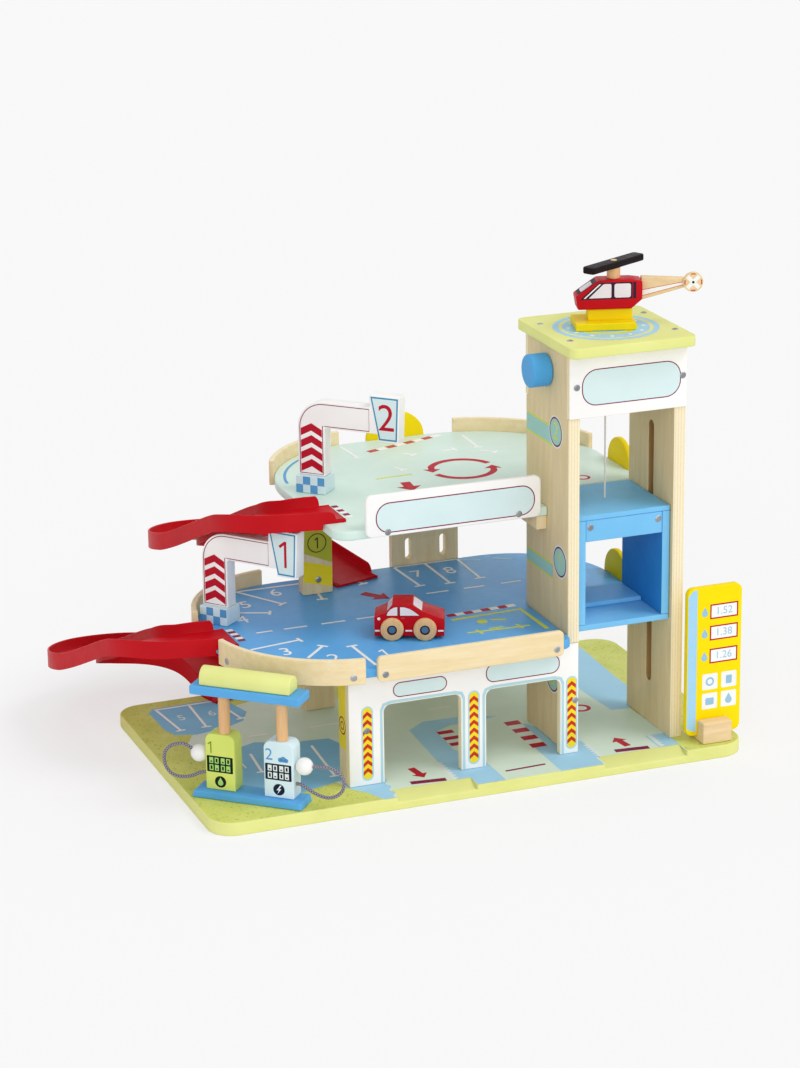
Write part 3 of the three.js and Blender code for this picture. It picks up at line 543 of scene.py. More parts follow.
def around(x: float, y: float, radius: float, angle: float) -> Point:
    """A point at an angle in degrees on the circle round a centre."""
    return x + radius * cos(angle * DEGREE), y + radius * sin(angle * DEGREE)


def ring(bm: Shape, centre: Vector, side: Vector, axis: Vector, radius: float, steps: int) -> list[bmesh.types.BMVert]:
    """Corners evenly round an axis, the first one to the given side."""
    other, angles = axis.cross(side), (2 * pi * i / steps for i in range(steps))
    return [bm.verts.new(centre + (side * cos(a) + other * sin(a)) * radius) for a in angles]


class Workshop:
    """Makes meshes from CAD nodes, outlines and turned profiles, and hangs them on their bodies."""

    least = 1e-7

    def __init__(self, frame: dict) -> None:
        """Reads which body and slot each CAD node has.
        """
        self.nodes = frame["nodes"]
        record = frame["record"]
        self.body_of = {n: b for b, nodes in record["behaviour"]["bodies"].items() for n in nodes}
        self.slot_of = {row["node"]: row["material_slot"] for row in record["subparts"]}
        self.count = 0

    def new(self, name: str, mesh: bpy.types.Mesh) -> Piece:
        """Puts a mesh in the scene at the origin.

        Args:
            name: name of the object.
            mesh: its mesh.

        Returns:
            The object.
        """
        obj = bpy.data.objects.new(name, mesh)
        bpy.context.scene.collection.objects.link(obj)
        return obj

    def hang(self, obj: Piece, body: str, slot: str, replaced: Sequence[str] = ()) -> Piece:
        """Makes a piece ride on its body.

        Args:
            obj: the piece.
            body: the CAD body that carries it.
            slot: the record's material slot; not used.
            replaced: CAD nodes that the piece stands for.

        Returns:
            The same piece.
        """
        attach(obj, body)
        if replaced:
            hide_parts(*replaced)
        self.count += 1
        LOG.info("%s rides on %s", obj.name, body)
        return obj

    def plain(self, obj: Piece) -> Piece:
        """Applies a piece's modifiers.

        Args:
            obj: the piece.

        Returns:
            The same piece with a plain mesh and no modifiers.
        """
        graph = bpy.context.evaluated_depsgraph_get()
        mesh = bpy.data.meshes.new_from_object(obj.evaluated_get(graph))
        obj.modifiers.clear()
        old = obj.data
        obj.data = mesh
        bpy.data.meshes.remove(old)
        return obj

    def meshed(self, name: str, bm: Shape, finishes: Sequence[Finish] = (),
               sharp: float | None = None) -> Piece:
        """Turns a shape into a piece.

        Args:
            name: the piece's name.
            bm: the shape, which is used up.
            finishes: the finishes in slot order.
            sharp: edges that turn by more degrees stay sharp; none are marked when left out.

        Returns:
            The piece.
        """
        mesh = bpy.data.meshes.new(name)
        bm.to_mesh(mesh)
        bm.free()
        if sharp is not None:
            mesh.set_sharp_from_angle(angle=sharp * DEGREE)
        for finish in finishes:
            mesh.materials.append(finish.material())
        return self.new(name, mesh)

    def softened(self, name: str, bm: Shape, bevel: float, segments: int = 3,
                 angle: float = 32.0) -> Piece:
        """Rounds the edges of a closed shape.

        Args:
            name: the piece's name.
            bm: the shape, which is used up.
            bevel: width of the rounding in metres.
            segments: steps of the rounding.
            angle: edges that turn by more degrees are rounded.

        Returns:
            The piece as a plain mesh.
        """
        obj = self.meshed(name, bm)
        obj.data.shade_smooth()
        rounding = obj.modifiers.new("rounding", "BEVEL")
        rounding.width = bevel
        rounding.segments = segments
        rounding.limit_method = "ANGLE"
        rounding.angle_limit = angle * DEGREE
        rounding.harden_normals = True
        rounding.use_clamp_overlap = True
        return self.plain(obj)

    def node_shape(self, node: str) -> Shape:
        """Copies a CAD node's shape, merged and with its flat faces whole.

        Args:
            node: the node's name.

        Returns:
            The shape.
        """
        bm = bmesh.new()
        bm.from_mesh(self.nodes[node].data)
        bmesh.ops.remove_doubles(bm, verts=bm.verts, dist=0.00002)
        bmesh.ops.dissolve_limit(bm, angle_limit=0.6 * DEGREE, verts=bm.verts, edges=bm.edges)
        return bm

    def paint(self, obj: Piece, finishes: Sequence[Finish], pick: Callable | None = None) -> None:
        """Gives a piece its finishes.

        Args:
            obj: the piece.
            finishes: the finishes in slot order.
            pick: says which finish a face has, from its normal and centre.
        """
        obj.data.materials.clear()
        for finish in finishes:
            obj.data.materials.append(finish.material())
        for face in obj.data.polygons:
            face.material_index = pick(face.normal, face.center) if pick else 0

    def dressed(self, node: str, finishes: Sequence[Finish], bevel: float, segments: int = 3, angle: float = 32.0,
                pick: Callable | None = None) -> Piece:
        """Dresses a CAD node's own shape and hangs it on its body.

        Args:
            node: the CAD node that it stands for.
            finishes: as in paint.
            bevel: as in softened, and so are segments and angle.
            segments: steps of the rounding.
            angle: least turn of a rounded edge in degrees.
            pick: as in paint.

        Returns:
            The piece.
        """
        obj = self.softened(f"{node}_dressed", self.node_shape(node), bevel, segments, angle)
        self.paint(obj, finishes, pick)
        return self.hang(obj, self.body_of[node], self.slot_of[node], [node])

    def board(self, node: str, face: Face, broad: Finish, edge: Finish, bevel: float) -> Piece:
        """Dresses a board: rounded edges, a painted or bare broad face and its edge.

        Args:
            node: the CAD node that it stands for.
            face: which way the broad faces look.
            broad: finish of the broad faces.
            edge: finish of the sawn edges.
            bevel: width of the rounding in metres.

        Returns:
            The piece.
        """
        axis, facing = face.value, 0.75
        return self.dressed(node, [broad, edge], bevel, pick=lambda normal, _: 0 if abs(normal[axis]) > facing else 1)

    def spun(self, node: str, profile: Sequence[tuple], start: Vector, axis: Vector, finishes: Sequence[Finish],
             steps: int = 48) -> Piece:
        """Turns a round piece in the place of a CAD node and hangs it on its body; turned says what each value is."""
        obj = self.turned(f"{node}_turned", profile, start, axis, finishes, steps)
        return self.hang(obj, self.body_of[node], self.slot_of[node], [node])

    def lay(self, ink: "Print", slot: str, body: str = "garage") -> Piece:
        """Makes a print a piece on its body."""
        return self.hang(self.meshed(ink.name, ink.bm, ink.inks), body, slot)

    def turned(self, name: str, profile: Sequence[tuple], start: Vector, axis: Vector, finishes: Sequence[Finish],
               steps: int = 48) -> Piece:
        """Turns a profile round an axis.

        Args:
            name: the piece's name.
            profile: radius and distance along the axis in millimetres, and the finish number of the band that
                follows, where it isn't the first.
            start: the point where the axis distance is zero.
            axis: unit direction of the axis.
            finishes: the finishes in slot order.
            steps: faces round the axis.

        Returns:
            The piece as a plain mesh.
        """
        bm = bmesh.new()
        side = axis.orthogonal().normalized()
        rings, bands = [], []
        for size, along, *band in profile:
            radius, centre = size * MM, start + axis * (along * MM)
            bands.append(band[0] if band else 0)
            rings.append(ring(bm, centre, side, axis, radius, steps if radius > self.least else 1))
        for k in range(len(profile) - 1):
            first, second = rings[k], rings[k + 1]
            for i in range(steps):
                j = (i + 1) % steps
                corners = [first[i % len(first)], first[j % len(first)], second[j % len(second)],
                           second[i % len(second)]]
                unique = list(dict.fromkeys(corners))
                if len(unique) > 2:
                    face = bm.faces.new(unique)
                    face.material_index = bands[k]
                    face.smooth = True
        bmesh.ops.recalc_face_normals(bm, faces=bm.faces)
        return self.meshed(name, bm, finishes, 38.0)

    def tube(self, name: str, path: Sequence[Vector], radius: float, finish: Finish, steps: int) -> Piece:
        """Sweeps a round section along a path, with a UV map in turns and metres.

        Args:
            name: the piece's name.
            path: the points that the centre follows.
            radius: the tube's radius.
            finish: its finish.
            steps: faces round the tube.

        Returns:
            The piece.
        """
        bm = bmesh.new()
        uv = bm.loops.layers.uv.new("along")
        tangents = [(path[min(i + 1, len(path) - 1)] - path[max(i - 1, 0)]).normalized() for i in range(len(path))]
        side = tangents[0].orthogonal().normalized()
        rings, lengths, travelled = [], [], 0.0
        for i, (point, tangent) in enumerate(zip(path, tangents)):
            side = (side - tangent * side.dot(tangent)).normalized()
            rings.append(ring(bm, point, side, tangent, radius, steps))
            travelled += (point - path[i - 1]).length if i else 0.0
            lengths.append(travelled)
        for k in range(len(rings) - 1):
            for i in range(steps):
                j = (i + 1) % steps
                face = bm.faces.new((rings[k][i], rings[k][j], rings[k + 1][j], rings[k + 1][i]))
                face.smooth = True
                corners = ((i, k), (i + 1, k), (i + 1, k + 1), (i, k + 1))
                for loop, (u, v) in zip(face.loops, corners):
                    loop[uv].uv = (u / steps, lengths[v])
        bm.faces.new(list(reversed(rings[0])))
        bm.faces.new(rings[-1])
        bmesh.ops.recalc_face_normals(bm, faces=bm.faces)
        return self.meshed(name, bm, [finish], 40.0)


class Print:
    """Ink shapes on one flat face, each a very thin layer with its own finish."""

    lift = 0.00004
    layer = 0.00003
    least = 1e-9
    arc_step = 4.0
    arc_steps = 6

    def __init__(self, name: str, origin: Vector, right: Vector, up: Vector) -> None:
        """Sets the face that carries the print.

        Args:
            name: the piece's name.
            origin: the point of the face where both coordinates are zero.
            right: unit direction of the first coordinate.
            up: unit direction of the second coordinate.
        """
        self.name = name
        self.origin, self.right, self.up = origin, right.normalized(), up.normalized()
        self.out = self.right.cross(self.up)
        self.bm = bmesh.new()
        self.inks: list[Finish] = []

    def point(self, x: float, y: float, height: float) -> Vector:
        """A point on the face, from millimetres, raised by a height in metres."""
        return self.origin + self.right * (x * MM) + self.up * (y * MM) + self.out * height

    def ink_number(self, ink: Finish) -> int:
        """The slot of an ink in this print.

        Args:
            ink: the finish.

        Returns:
            Its number.
        """
        if ink not in self.inks:
            self.inks.append(ink)
        return self.inks.index(ink)

    def plate(self, points: Sequence[Point], faces: Sequence[Sequence[int]], rims: Iterable[tuple[int, int]],
              ink: Finish, layer: int) -> None:
        """Lays a thin closed plate.

        Args:
            points: its corners in millimetres.
            faces: corner numbers of each face, anticlockwise.
            rims: the edges that get a wall, each with its face on the left.
            ink: the finish.
            layer: higher layers lie on lower ones.
        """
        number = self.ink_number(ink)
        bottom, top = ([self.bm.verts.new(self.point(x, y, height)) for x, y in points]
                       for height in (self.lift * 0.5, self.lift + self.layer * layer))
        sides = [[corners[i] for i in face] for face in faces for corners, face in ((top, face), (bottom, face[::-1]))]
        for corners in sides + [[bottom[a], bottom[b], top[b], top[a]] for a, b in rims]:
            self.bm.faces.new(corners).material_index = number

    def fill(self, loops: Sequence[Loop], ink: Finish, layer: int = 1) -> None:
        """Lays a filled shape.

        Args:
            loops: closed outlines in millimetres; those after the first are holes.
            ink: the finish.
            layer: higher layers lie on lower ones.
        """
        points = [p for loop in loops for p in loop]
        faces, rims, start = [], [], 0
        for a, b, c in tessellate_polygon([[Vector((x, y, 0)) for x, y in loop] for loop in loops]):
            (ax, ay), (bx, by), (cx, cy) = points[a], points[b], points[c]
            turn = (bx - ax) * (cy - ay) - (by - ay) * (cx - ax)
            if abs(turn) >= self.least:
                faces.append((a, b, c) if turn > 0 else (a, c, b))
        for k, loop in enumerate(loops):
            size = len(loop)
            area = sum(loop[i - 1][0] * loop[i][1] - loop[i][0] * loop[i - 1][1] for i in range(size))
            pairs = [(start + i, start + (i + 1) % size) for i in range(size)]
            rims += pairs if (area > 0) == (k == 0) else [(b, a) for a, b in pairs]
            start += size
        self.plate(points, faces, rims, ink, layer)

    def rectangle(self, x0: float, y0: float, x1: float, y1: float, ink: Finish, layer: int = 1,
                  radius: float = 0.0) -> None:
        """Lays a rectangle, its corners round when a radius is given."""
        self.fill([rounded(x0, y0, x1, y1, radius)], ink, layer)

    def frame(self, x0: float, y0: float, x1: float, y1: float, radius: float, width: float, ink: Finish,
              layer: int = 2) -> None:
        """Lays the outline of a rounded rectangle."""
        inner = rounded(x0 + width, y0 + width, x1 - width, y1 - width, max(radius - width, 0.01))
        self.fill([rounded(x0, y0, x1, y1, radius), inner], ink, layer)

    def pill(self, x0: float, y0: float, x1: float, y1: float, outline: Finish, inside: Finish,
             width: float = 1.1, radius: float | None = None) -> None:
        """Lays a sign field: an outline and its filling.

        Args:
            x0, y0, x1, y1: the field's low left and high right corners.
            outline: ink of the outline.
            inside: ink of the field.
            width: width of the outline.
            radius: radius of the corners, half the height when left out.
        """
        round_ = (y1 - y0) / 2 - 0.01 if radius is None else radius
        self.rectangle(x0, y0, x1, y1, inside, 1, round_)
        self.frame(x0, y0, x1, y1, round_, width, outline, 2)

    def disc(self, x: float, y: float, radius: float, ink: Finish, layer: int = 1, hole: float = 0.0) -> None:
        """Lays a disc or a ring."""
        self.fill([circle(x, y, size) for size in (radius, hole) if size > 0], ink, layer)

    def target(self, x: float, y: float, rows: Iterable[tuple[float, float, Finish]], layer: int) -> None:
        """Lays discs and rings round one point, each on a higher layer, from outer and inner radius and ink."""
        for step, (radius, hole, ink) in enumerate(rows):
            self.disc(x, y, radius, ink, layer + step, hole)

    def stroke(self, points: Sequence[Point], width: float, ink: Finish, layer: int = 2) -> None:
        """Lays a line of even width.

        Args:
            points: the points that its middle follows.
            width: its width.
            ink, layer: as in fill.
        """
        left, right = [], []
        for i, (x, y) in enumerate(points):
            ax, ay = points[max(i - 1, 0)]
            bx, by = points[min(i + 1, len(points) - 1)]
            size = hypot(bx - ax, by - ay)
            nx, ny = -(by - ay) / size * width / 2, (bx - ax) / size * width / 2
            left.append((x + nx, y + ny))
            right.append((x - nx, y - ny))
        self.fill([left + right[::-1]], ink, layer)

    def arc(self, x: float, y: float, radius: float, start: float, end: float, width: float, ink: Finish,
            layer: int = 2) -> None:
        """Lays an arc; its angles are in degrees.

        Args:
            x, y, radius: its circle.
            start, end: angles of its ends.
            width: its width.
            ink, layer: as in fill.
        """
        steps = max(self.arc_steps, int(abs(end - start) / self.arc_step))
        points = [around(x, y, radius, start + (end - start) * i / steps) for i in range(steps + 1)]
        self.stroke(points, width, ink, layer)

    def tee(self, foot: Point, head: Point, bar: float, width: float, ink: Finish) -> None:
        """Lays a bay line that ends in a cross bar.

        Args:
            foot: where the line begins.
            head: where it ends, at the middle of the bar.
            bar: length of the bar.
            width: width of line and bar.
            ink: the finish.
        """
        dx, dy = head[0] - foot[0], head[1] - foot[1]
        size = hypot(dx, dy)
        nx, ny = -dy / size * bar / 2, dx / size * bar / 2
        self.stroke([foot, head], width, ink, 7)
        self.stroke([(head[0] - nx, head[1] - ny), (head[0] + nx, head[1] + ny)], width, ink, 8)

    def arrow(self, tail: Point, tip: Point, shaft: float, head: float, ink: Finish, layer: int = 3) -> None:
        """Lays an arrow with a broad head.

        Args:
            tail: where it begins.
            tip: where it points.
            shaft: width of the shaft.
            head: width of the head.
            ink, layer: as in fill.
        """
        dx, dy = tip[0] - tail[0], tip[1] - tail[1]
        size = hypot(dx, dy)
        ux, uy = dx / size, dy / size
        neck = max(size - head * 0.6, size * 0.35)

        def at(along: float, side: float) -> Point:
            """A point given along and beside the arrow."""
            return tail[0] + ux * along - uy * side, tail[1] + uy * along + ux * side

        outline = [at(0, -shaft / 2), at(neck, -shaft / 2), at(neck, -head / 2), at(size, 0), at(neck, head / 2),
                   at(neck, shaft / 2), at(0, shaft / 2)]
        self.fill([outline], ink, layer)

    def bars(self, first: Point, last: Point, width: float, count: int, inks: Sequence[Finish], layer: int = 2) -> None:
        """Lays a barrier: blocks of turning colour along a line.

        Args:
            first, last: ends of the line.
            width: width of the barrier.
            count: number of blocks.
            inks: the finishes, taken in turn.
            layer: higher layers lie on lower ones.
        """
        for i in range(count):
            a, b = i / count, (i + 1) / count
            start = (first[0] + (last[0] - first[0]) * a, first[1] + (last[1] - first[1]) * a)
            end = (first[0] + (last[0] - first[0]) * b, first[1] + (last[1] - first[1]) * b)
            self.stroke([start, end], width, inks[i % len(inks)], layer)

    def chevrons(self, x: float, low: float, pitch: float, count: int, half: float, rise: float, thick: float,
                 ink: Finish, layer: int = 3) -> None:
        """Lays a column of upward chevrons.

        Args:
            x: middle of the column.
            low: where the lowest one's arms begin.
            pitch: distance from one to the next.
            count: how many there are.
            half: half their width.
            rise: how far their points stand above their arms.
            thick: height of the band.
            ink, layer: as in fill.
        """
        for i in range(count):
            y = low + i * pitch
            self.fill([[(x - half, y), (x, y + rise), (x + half, y), (x + half, y + thick), (x, y + rise + thick),
                        (x - half, y + thick)]], ink, layer)

    def number(self, text: str, x: float, y: float, height: float, ink: Finish, angle: float = 0.0,
               squeeze: float = 1.0, layer: int = 3) -> None:
        """Lays a number, centred on a point.

        Args:
            text: the digits.
            x, y: middle of the number.
            height: height of the digits.
            ink: the finish.
            angle: turn in degrees.
            squeeze: width share of the digits.
            layer: the layer it lies on.
        """
        c, s = cos(angle * DEGREE), sin(angle * DEGREE)
        if text == "1":
            for step, ends in enumerate((((0.04, 0.48), (0.04, -0.48)), ((-0.2, 0.26), (0.04, 0.45)))):
                line = [(x + height * (c * u - s * v), y + height * (s * u + c * v)) for u, v in ends]
                self.stroke(line, height * 0.1, ink, layer + step)
            return
        curve = bpy.data.curves.new("digits", "FONT")
        curve.body = text
        curve.align_x, curve.align_y = "CENTER", "CENTER"
        curve.size = height * 1.38
        curve.resolution_u = 4
        holder = bpy.data.objects.new("digits", curve)
        bpy.context.scene.collection.objects.link(holder)
        graph = bpy.context.evaluated_depsgraph_get()
        mesh = bpy.data.meshes.new_from_object(holder.evaluated_get(graph))
        local = bmesh.new()
        local.from_mesh(mesh)
        bmesh.ops.remove_doubles(local, verts=local.verts, dist=0.001)
        local.verts.index_update()
        points = [(x + v.co.x * squeeze * c - v.co.y * s, y + v.co.x * squeeze * s + v.co.y * c) for v in local.verts]
        faces = [[v.index for v in face.verts][:: -1 if face.normal.z < 0 else 1] for face in local.faces]
        edges = dict.fromkeys((face[i - 1], face[i]) for face in faces for i in range(len(face)))
        self.plate(points, faces, [edge for edge in edges if edge[::-1] not in edges], ink, layer)
        local.free()
        bpy.data.objects.remove(holder)
        bpy.data.curves.remove(curve)
        bpy.data.meshes.remove(mesh)


def rounded(x0: float, y0: float, x1: float, y1: float, radius: float) -> list[Point]:
    """The outline of a rectangle with round corners.

    Args:
        x0, y0, x1, y1: its low left and high right corners.
        radius: radius of the corners; zero leaves them square.

    Returns:
        Its points, anticlockwise.
    """
    if radius <= 0:
        return [(x0, y0), (x1, y0), (x1, y1), (x0, y1)]
    outline = []
    corners = ((x1 - radius, y0 + radius, -90), (x1 - radius, y1 - radius, 0), (x0 + radius, y1 - radius, 90),
               (x0 + radius, y0 + radius, 180))
    for cx, cy, start in corners:
        outline += [around(cx, cy, radius, start + 9 * i) for i in range(11)]
    return outline


def circle(x: float, y: float, radius: float, steps: int = 40, start: float = 0.0) -> list[Point]:
    """The outline of a circle, from a start in degrees."""
    return [around(x, y, radius, start + 360 * i / steps) for i in range(steps)]


def turn_about_z(angle: float) -> Matrix:
    """A turn about the vertical, from degrees."""
    return Matrix.Rotation(angle * DEGREE, 4, "Z")


@dataclass(frozen=True)
class Standing:
    """A local frame: a place on the garage in millimetres, turned about the vertical."""

    x: float
    y: float
    z: float
    turn: float

    def at(self, x: float, y: float, z: float) -> Vector:
        """A point of the local frame, in metres."""
        local = turn_about_z(self.turn) @ Vector((x, y, z))
        return (local + Vector((self.x, self.y, self.z))) * MM

    def front_print(self, name: str, x: float, y: float, z: float) -> Print:
        """A print on an upright face that looks to the local frame's front."""
        return Print(name, self.at(x, y, z), self.right, UP)

    @property
    def right(self) -> Vector:
        """The local first direction."""
        return turn_about_z(self.turn) @ Vector((1, 0, 0))

    @property
    def back(self) -> Vector:
        """The local second direction."""
        return turn_about_z(self.turn) @ Vector((0, 1, 0))


UP = Vector((0, 0, 1))
ACROSS = Vector((1, 0, 0))
DEEP = Vector((0, 1, 0))


def flat_print(name: str, height: float) -> Print:
    """A print on a level face at a height in millimetres."""
    return Print(name, UP * height * MM, ACROSS, DEEP)


def front_print(name: str, y: float) -> Print:
    """A print on an upright face that looks to the front."""
    return Print(name, DEEP * y * MM, ACROSS, UP)


def left_print(name: str, x: float) -> Print:
    """A print on an upright face that looks to the left; its first coordinate grows towards the front."""
    return Print(name, ACROSS * x * MM, -DEEP, UP)


@dataclass(frozen=True)
class Group:
    """A sub-assembly: its sizes are fields, in millimetres but for roundings in metres, and build dresses it."""

    shop: Workshop


@dataclass(frozen=True)
class BaseBoard(Group):
    """The lime board with its printed ground."""

    top: float = 14.3
    rounding: float = 0.0014
    level: float = 0.985
    road_front: float = -159.4
    board_front: float = -180.2

    def build(self) -> None:
        """Dresses the board and lays its roads, bays and marks."""
        self.shop.dressed("base_board", [TURF, LIME], self.rounding,
                     pick=lambda normal, _: 0 if normal.z > self.level else 1)
        ink = flat_print("base_print", self.top)
        self.roads(ink)
        self.bays(ink)
        self.barriers(ink)
        self.shop.lay(ink, "pale_blue_paint")

    def roads(self, ink: Print) -> None:
        """Lays the roads and the kerb patches with their cut edges.

        Args:
            ink: the print.
        """
        front, edge = self.road_front, self.board_front
        slope = ((-101, -13), (133.0, 228.0))
        road = [(-262, 20), (-257, 45), (-246, 66), (-224, 84), (-198, 90), (-178, 96), (-174, 135), (-150, 142),
                (-61, 112), (60, 140), (160, 150), (246, 150), (252, 60), (252, 15), (225.3, -42), (229, -124),
                (229, edge), (slope[1][1], edge), (slope[1][1], front), (slope[1][0], front), (slope[1][0], edge),
                (slope[0][1], edge), (slope[0][1], front), (slope[0][0], front), (slope[0][0], edge), (-116, edge),
                (-126, -158), (-142, -136), (-150, -100), (-160, -60), (-215, -10)]
        ink.fill([road], INK_ROAD, 1)
        patches = (
            wavy((-95, -112), (-103.5, edge), 4, 2.2) + [(-117, edge), (-126, -158), (-141, -138), (-141, -112)],
            [(-28, edge + 21), (-28, -108), (-23, -10), (0, 8), (60, 6), (80, -8), (22, -14), (4, -24), (0, -80),
             (19, -120), (19, edge), (-12.6, edge), (-12.6, front), (-28, front)],
            [(82, edge), (131, edge), (131, front), (136, front), (136, -112), (100, -40), (82, -40)],
            [(205, front), (229, front), (229, -124), (205, -124)],
            [(204, -39.5), (225.3, -42), (252, 15), (252, 60), (255, 158), (226, 158), (198, 31)])
        for patch in patches:
            ink.fill([patch], INK_SKY, 2)
        for x, end, reach, count in ((-28, -108, 4.5, 7), (136.5, -121, -4.5, 6), (210, -124, 4, 5)):
            ink.fill([toothed((x, -158), (x, end), reach, count)], INK_SOFT_WHITE, 3)
        for x0, x1 in ((-190, -167), (-120, -81), (19, 44)):
            ink.rectangle(x0, 38.4, x1, 41.6, INK_WHITE, 5)

    def bays(self, ink: Print) -> None:
        """Lays the parking bays behind and beside the pumps.

        Args:
            ink: the print.
        """
        behind = [(-268, 94), (-269, 150), (-262, 160), (-190, 162), (-178, 152), (-168, 112), (-180, 88), (-205, 74),
                  (-240, 68), (-262, 76)]
        beside = [(-222, 8), (-190, 22), (-150, 6), (-112, 2), (-104, -20), (-108, -104), (-128, -112), (-205, -135),
                  (-232, -112), (-247, -60), (-243, -10)]
        for patch in (behind, beside):
            ink.fill([patch], INK_BAY, 4)
        ink.stroke([(-261, 155.5), (-186, 157.5)], 3.2, INK_WHITE, 6)
        for foot, head in (((-259, 153), (-252, 86)), ((-221, 154), (-223, 86)), ((-190, 156), (-180, 95)),
                           ((-204, -8), (-209, -61)), ((-136, -11), (-142, -101))):
            ink.tee(foot, head, 11, 3, INK_WHITE)
        for text, x, y in (("5", -240, 122), ("6", -205, 122), ("10", -172, -42), ("11", -226, -38)):
            ink.number(text, x, y, 16, INK_SOFT_WHITE, squeeze=0.9, layer=6)

    def barriers(self, ink: Print) -> None:
        """Lays striped barriers, arrows and bare sign fields on the ground.

        Args:
            ink: the print.
        """
        ink.bars((11, -26), (11, -80), 18, 6, (INK_RED, INK_SOFT_WHITE), 5)
        ink.bars((88.5, -28), (88.5, -109), 17, 7, (INK_RED, INK_SOFT_WHITE), 5)
        ink.target(175.5, -21.5, ((12, 0, INK_WHITE), (11, 6.5, INK_RED)), 5)
        ink.arrow((-61, -112), (-57, -141), 8, 18, INK_RED, 5)
        ink.stroke([(-76, -150), (-38, -154.5)], 8, INK_CRIMSON, 5)
        ink.stroke([(28, -158), (74, -156)], 3.4, INK_CRIMSON, 5)
        ink.arrow((176, -143), (172, -116), 8, 18, INK_RED, 5)
        ink.stroke([(157, -151), (195, -155)], 8, INK_CRIMSON, 5)


def toothed(start: Point, end: Point, reach: float, count: int) -> list[Point]:
    """A strip whose one side is cut into teeth.

    Args:
        start, end: ends of the line that the teeth stand on.
        reach: how far they stand out; below zero they point to the left.
        count: how many there are.

    Returns:
        The strip's outline.
    """
    outline = []
    for i in range(count):
        a, b = i / count, (i + 0.5) / count
        for share, out in ((a, 0.0), (b, reach)):
            outline.append((start[0] + (end[0] - start[0]) * share + out, start[1] + (end[1] - start[1]) * share))
    outline.append(end)
    return outline + [(end[0] - reach * 0.7, end[1]), (start[0] - reach * 0.7, start[1])]


def wavy(start: Point, end: Point, waves: int, reach: float) -> list[Point]:
    """A waving line.

    Args:
        start, end: its ends.
        waves: number of whole waves.
        reach: how far they swing to each side.

    Returns:
        Its points.
    """
    steps = waves * 8
    points = []
    for i in range(steps + 1):
        share = i / steps
        shift = reach * sin(2 * pi * waves * share)
        points.append((start[0] + (end[0] - start[0]) * share + shift, start[1] + (end[1] - start[1]) * share))
    return points


@dataclass(frozen=True)
class Tower(Group):
    """The lift tower: two walls, two boards and the roof."""

    left_x: float = 106.75
    front_y: float = -141.5
    roof_z: float = 462.4
    groove_inset: float = 1.5

    def build(self) -> None:
        """Dresses the tower's boards and lays their signs."""
        for node in ("tower_left_wall", "tower_right_wall"):
            self.groove(self.shop.board(node, Face.X, BIRCH_DEEP, PLY_X, CRISP))
        for node in ("tower_front_board", "tower_back_board"):
            self.shop.board(node, Face.Y, WHITE, PLY_Y, CRISP)
        self.shop.board("tower_roof", Face.Z, CANOPY, CANOPY, SOFT)
        self.front_sign()
        self.side_signs()
        self.landing()

    def groove(self, wall: Piece) -> None:
        """Paints shade on the cut faces of a wall's groove, which lie inside the board's own box: a darker brown wood.

        Args:
            wall: the dressed wall.
        """
        places = [vert.co for vert in wall.data.vertices]
        inset = self.groove_inset * MM
        low = [min(place[i] for place in places) + inset for i in range(3)]
        high = [max(place[i] for place in places) - inset for i in range(3)]
        # The groove's cut faces get painted shade.
        wall.data.materials.append(GROOVE_SHADE_BROWN.material())
        for face in wall.data.polygons:
            if all(low[i] < face.center[i] < high[i] for i in range(3)):
                face.material_index = 2

    def front_sign(self) -> None:
        """Lays the bare sign field on the tower's front."""
        ink = front_print("tower_sign", self.front_y)
        ink.pill(120.7, 396, 233, 435, INK_CRIMSON, INK_MINT, radius=17)
        self.shop.lay(ink, "white_paint")

    def side_signs(self) -> None:
        """Lays the level badges and bands on the tower's left side."""
        ink = left_print("tower_side_signs", self.left_x)
        for low, high in ((344.0, 366.0), (198.5, 215.5)):
            ink.rectangle(31, low, 100, high, INK_RING_YELLOW, 1)
            ink.rectangle(31, low + 2, 100, high - 2, INK_BADGE, 2)
        for text, y, z, radius in (("2", -107.0, 362.0, 17.5), ("1", -118.7, 223.0, 18.0), ("0", -100.0, 88.0, 17.5)):
            ink.target(-y, z, ((radius, 0, INK_SOFT_WHITE), (radius - 1.6, 0, INK_CRIMSON),
                               (radius - 3.4, 0, INK_BADGE)), 3)
            ink.number(text, -y, z, radius * 1.1, INK_RING_YELLOW, layer=6)
        self.shop.lay(ink, "yellow_paint")

    def landing(self) -> None:
        """Lays the landing rings on the roof."""
        ink = flat_print("roof_print", self.roof_z)
        for radius, colour, layer, hole in ((56, INK_SKY, 1, 50), (46, INK_SKY, 1, 33), (33, INK_RING_YELLOW, 2, 28),
                                            (26, INK_SKY, 2, 0)):
            ink.disc(TOWER_X, TOWER_Y, radius, colour, layer, hole)
        for x, y in circle(TOWER_X, TOWER_Y, 39.5, 12, 15):
            ink.disc(x, y, 2.2, INK_WHITE, 3)
        self.shop.lay(ink, "lime_paint")


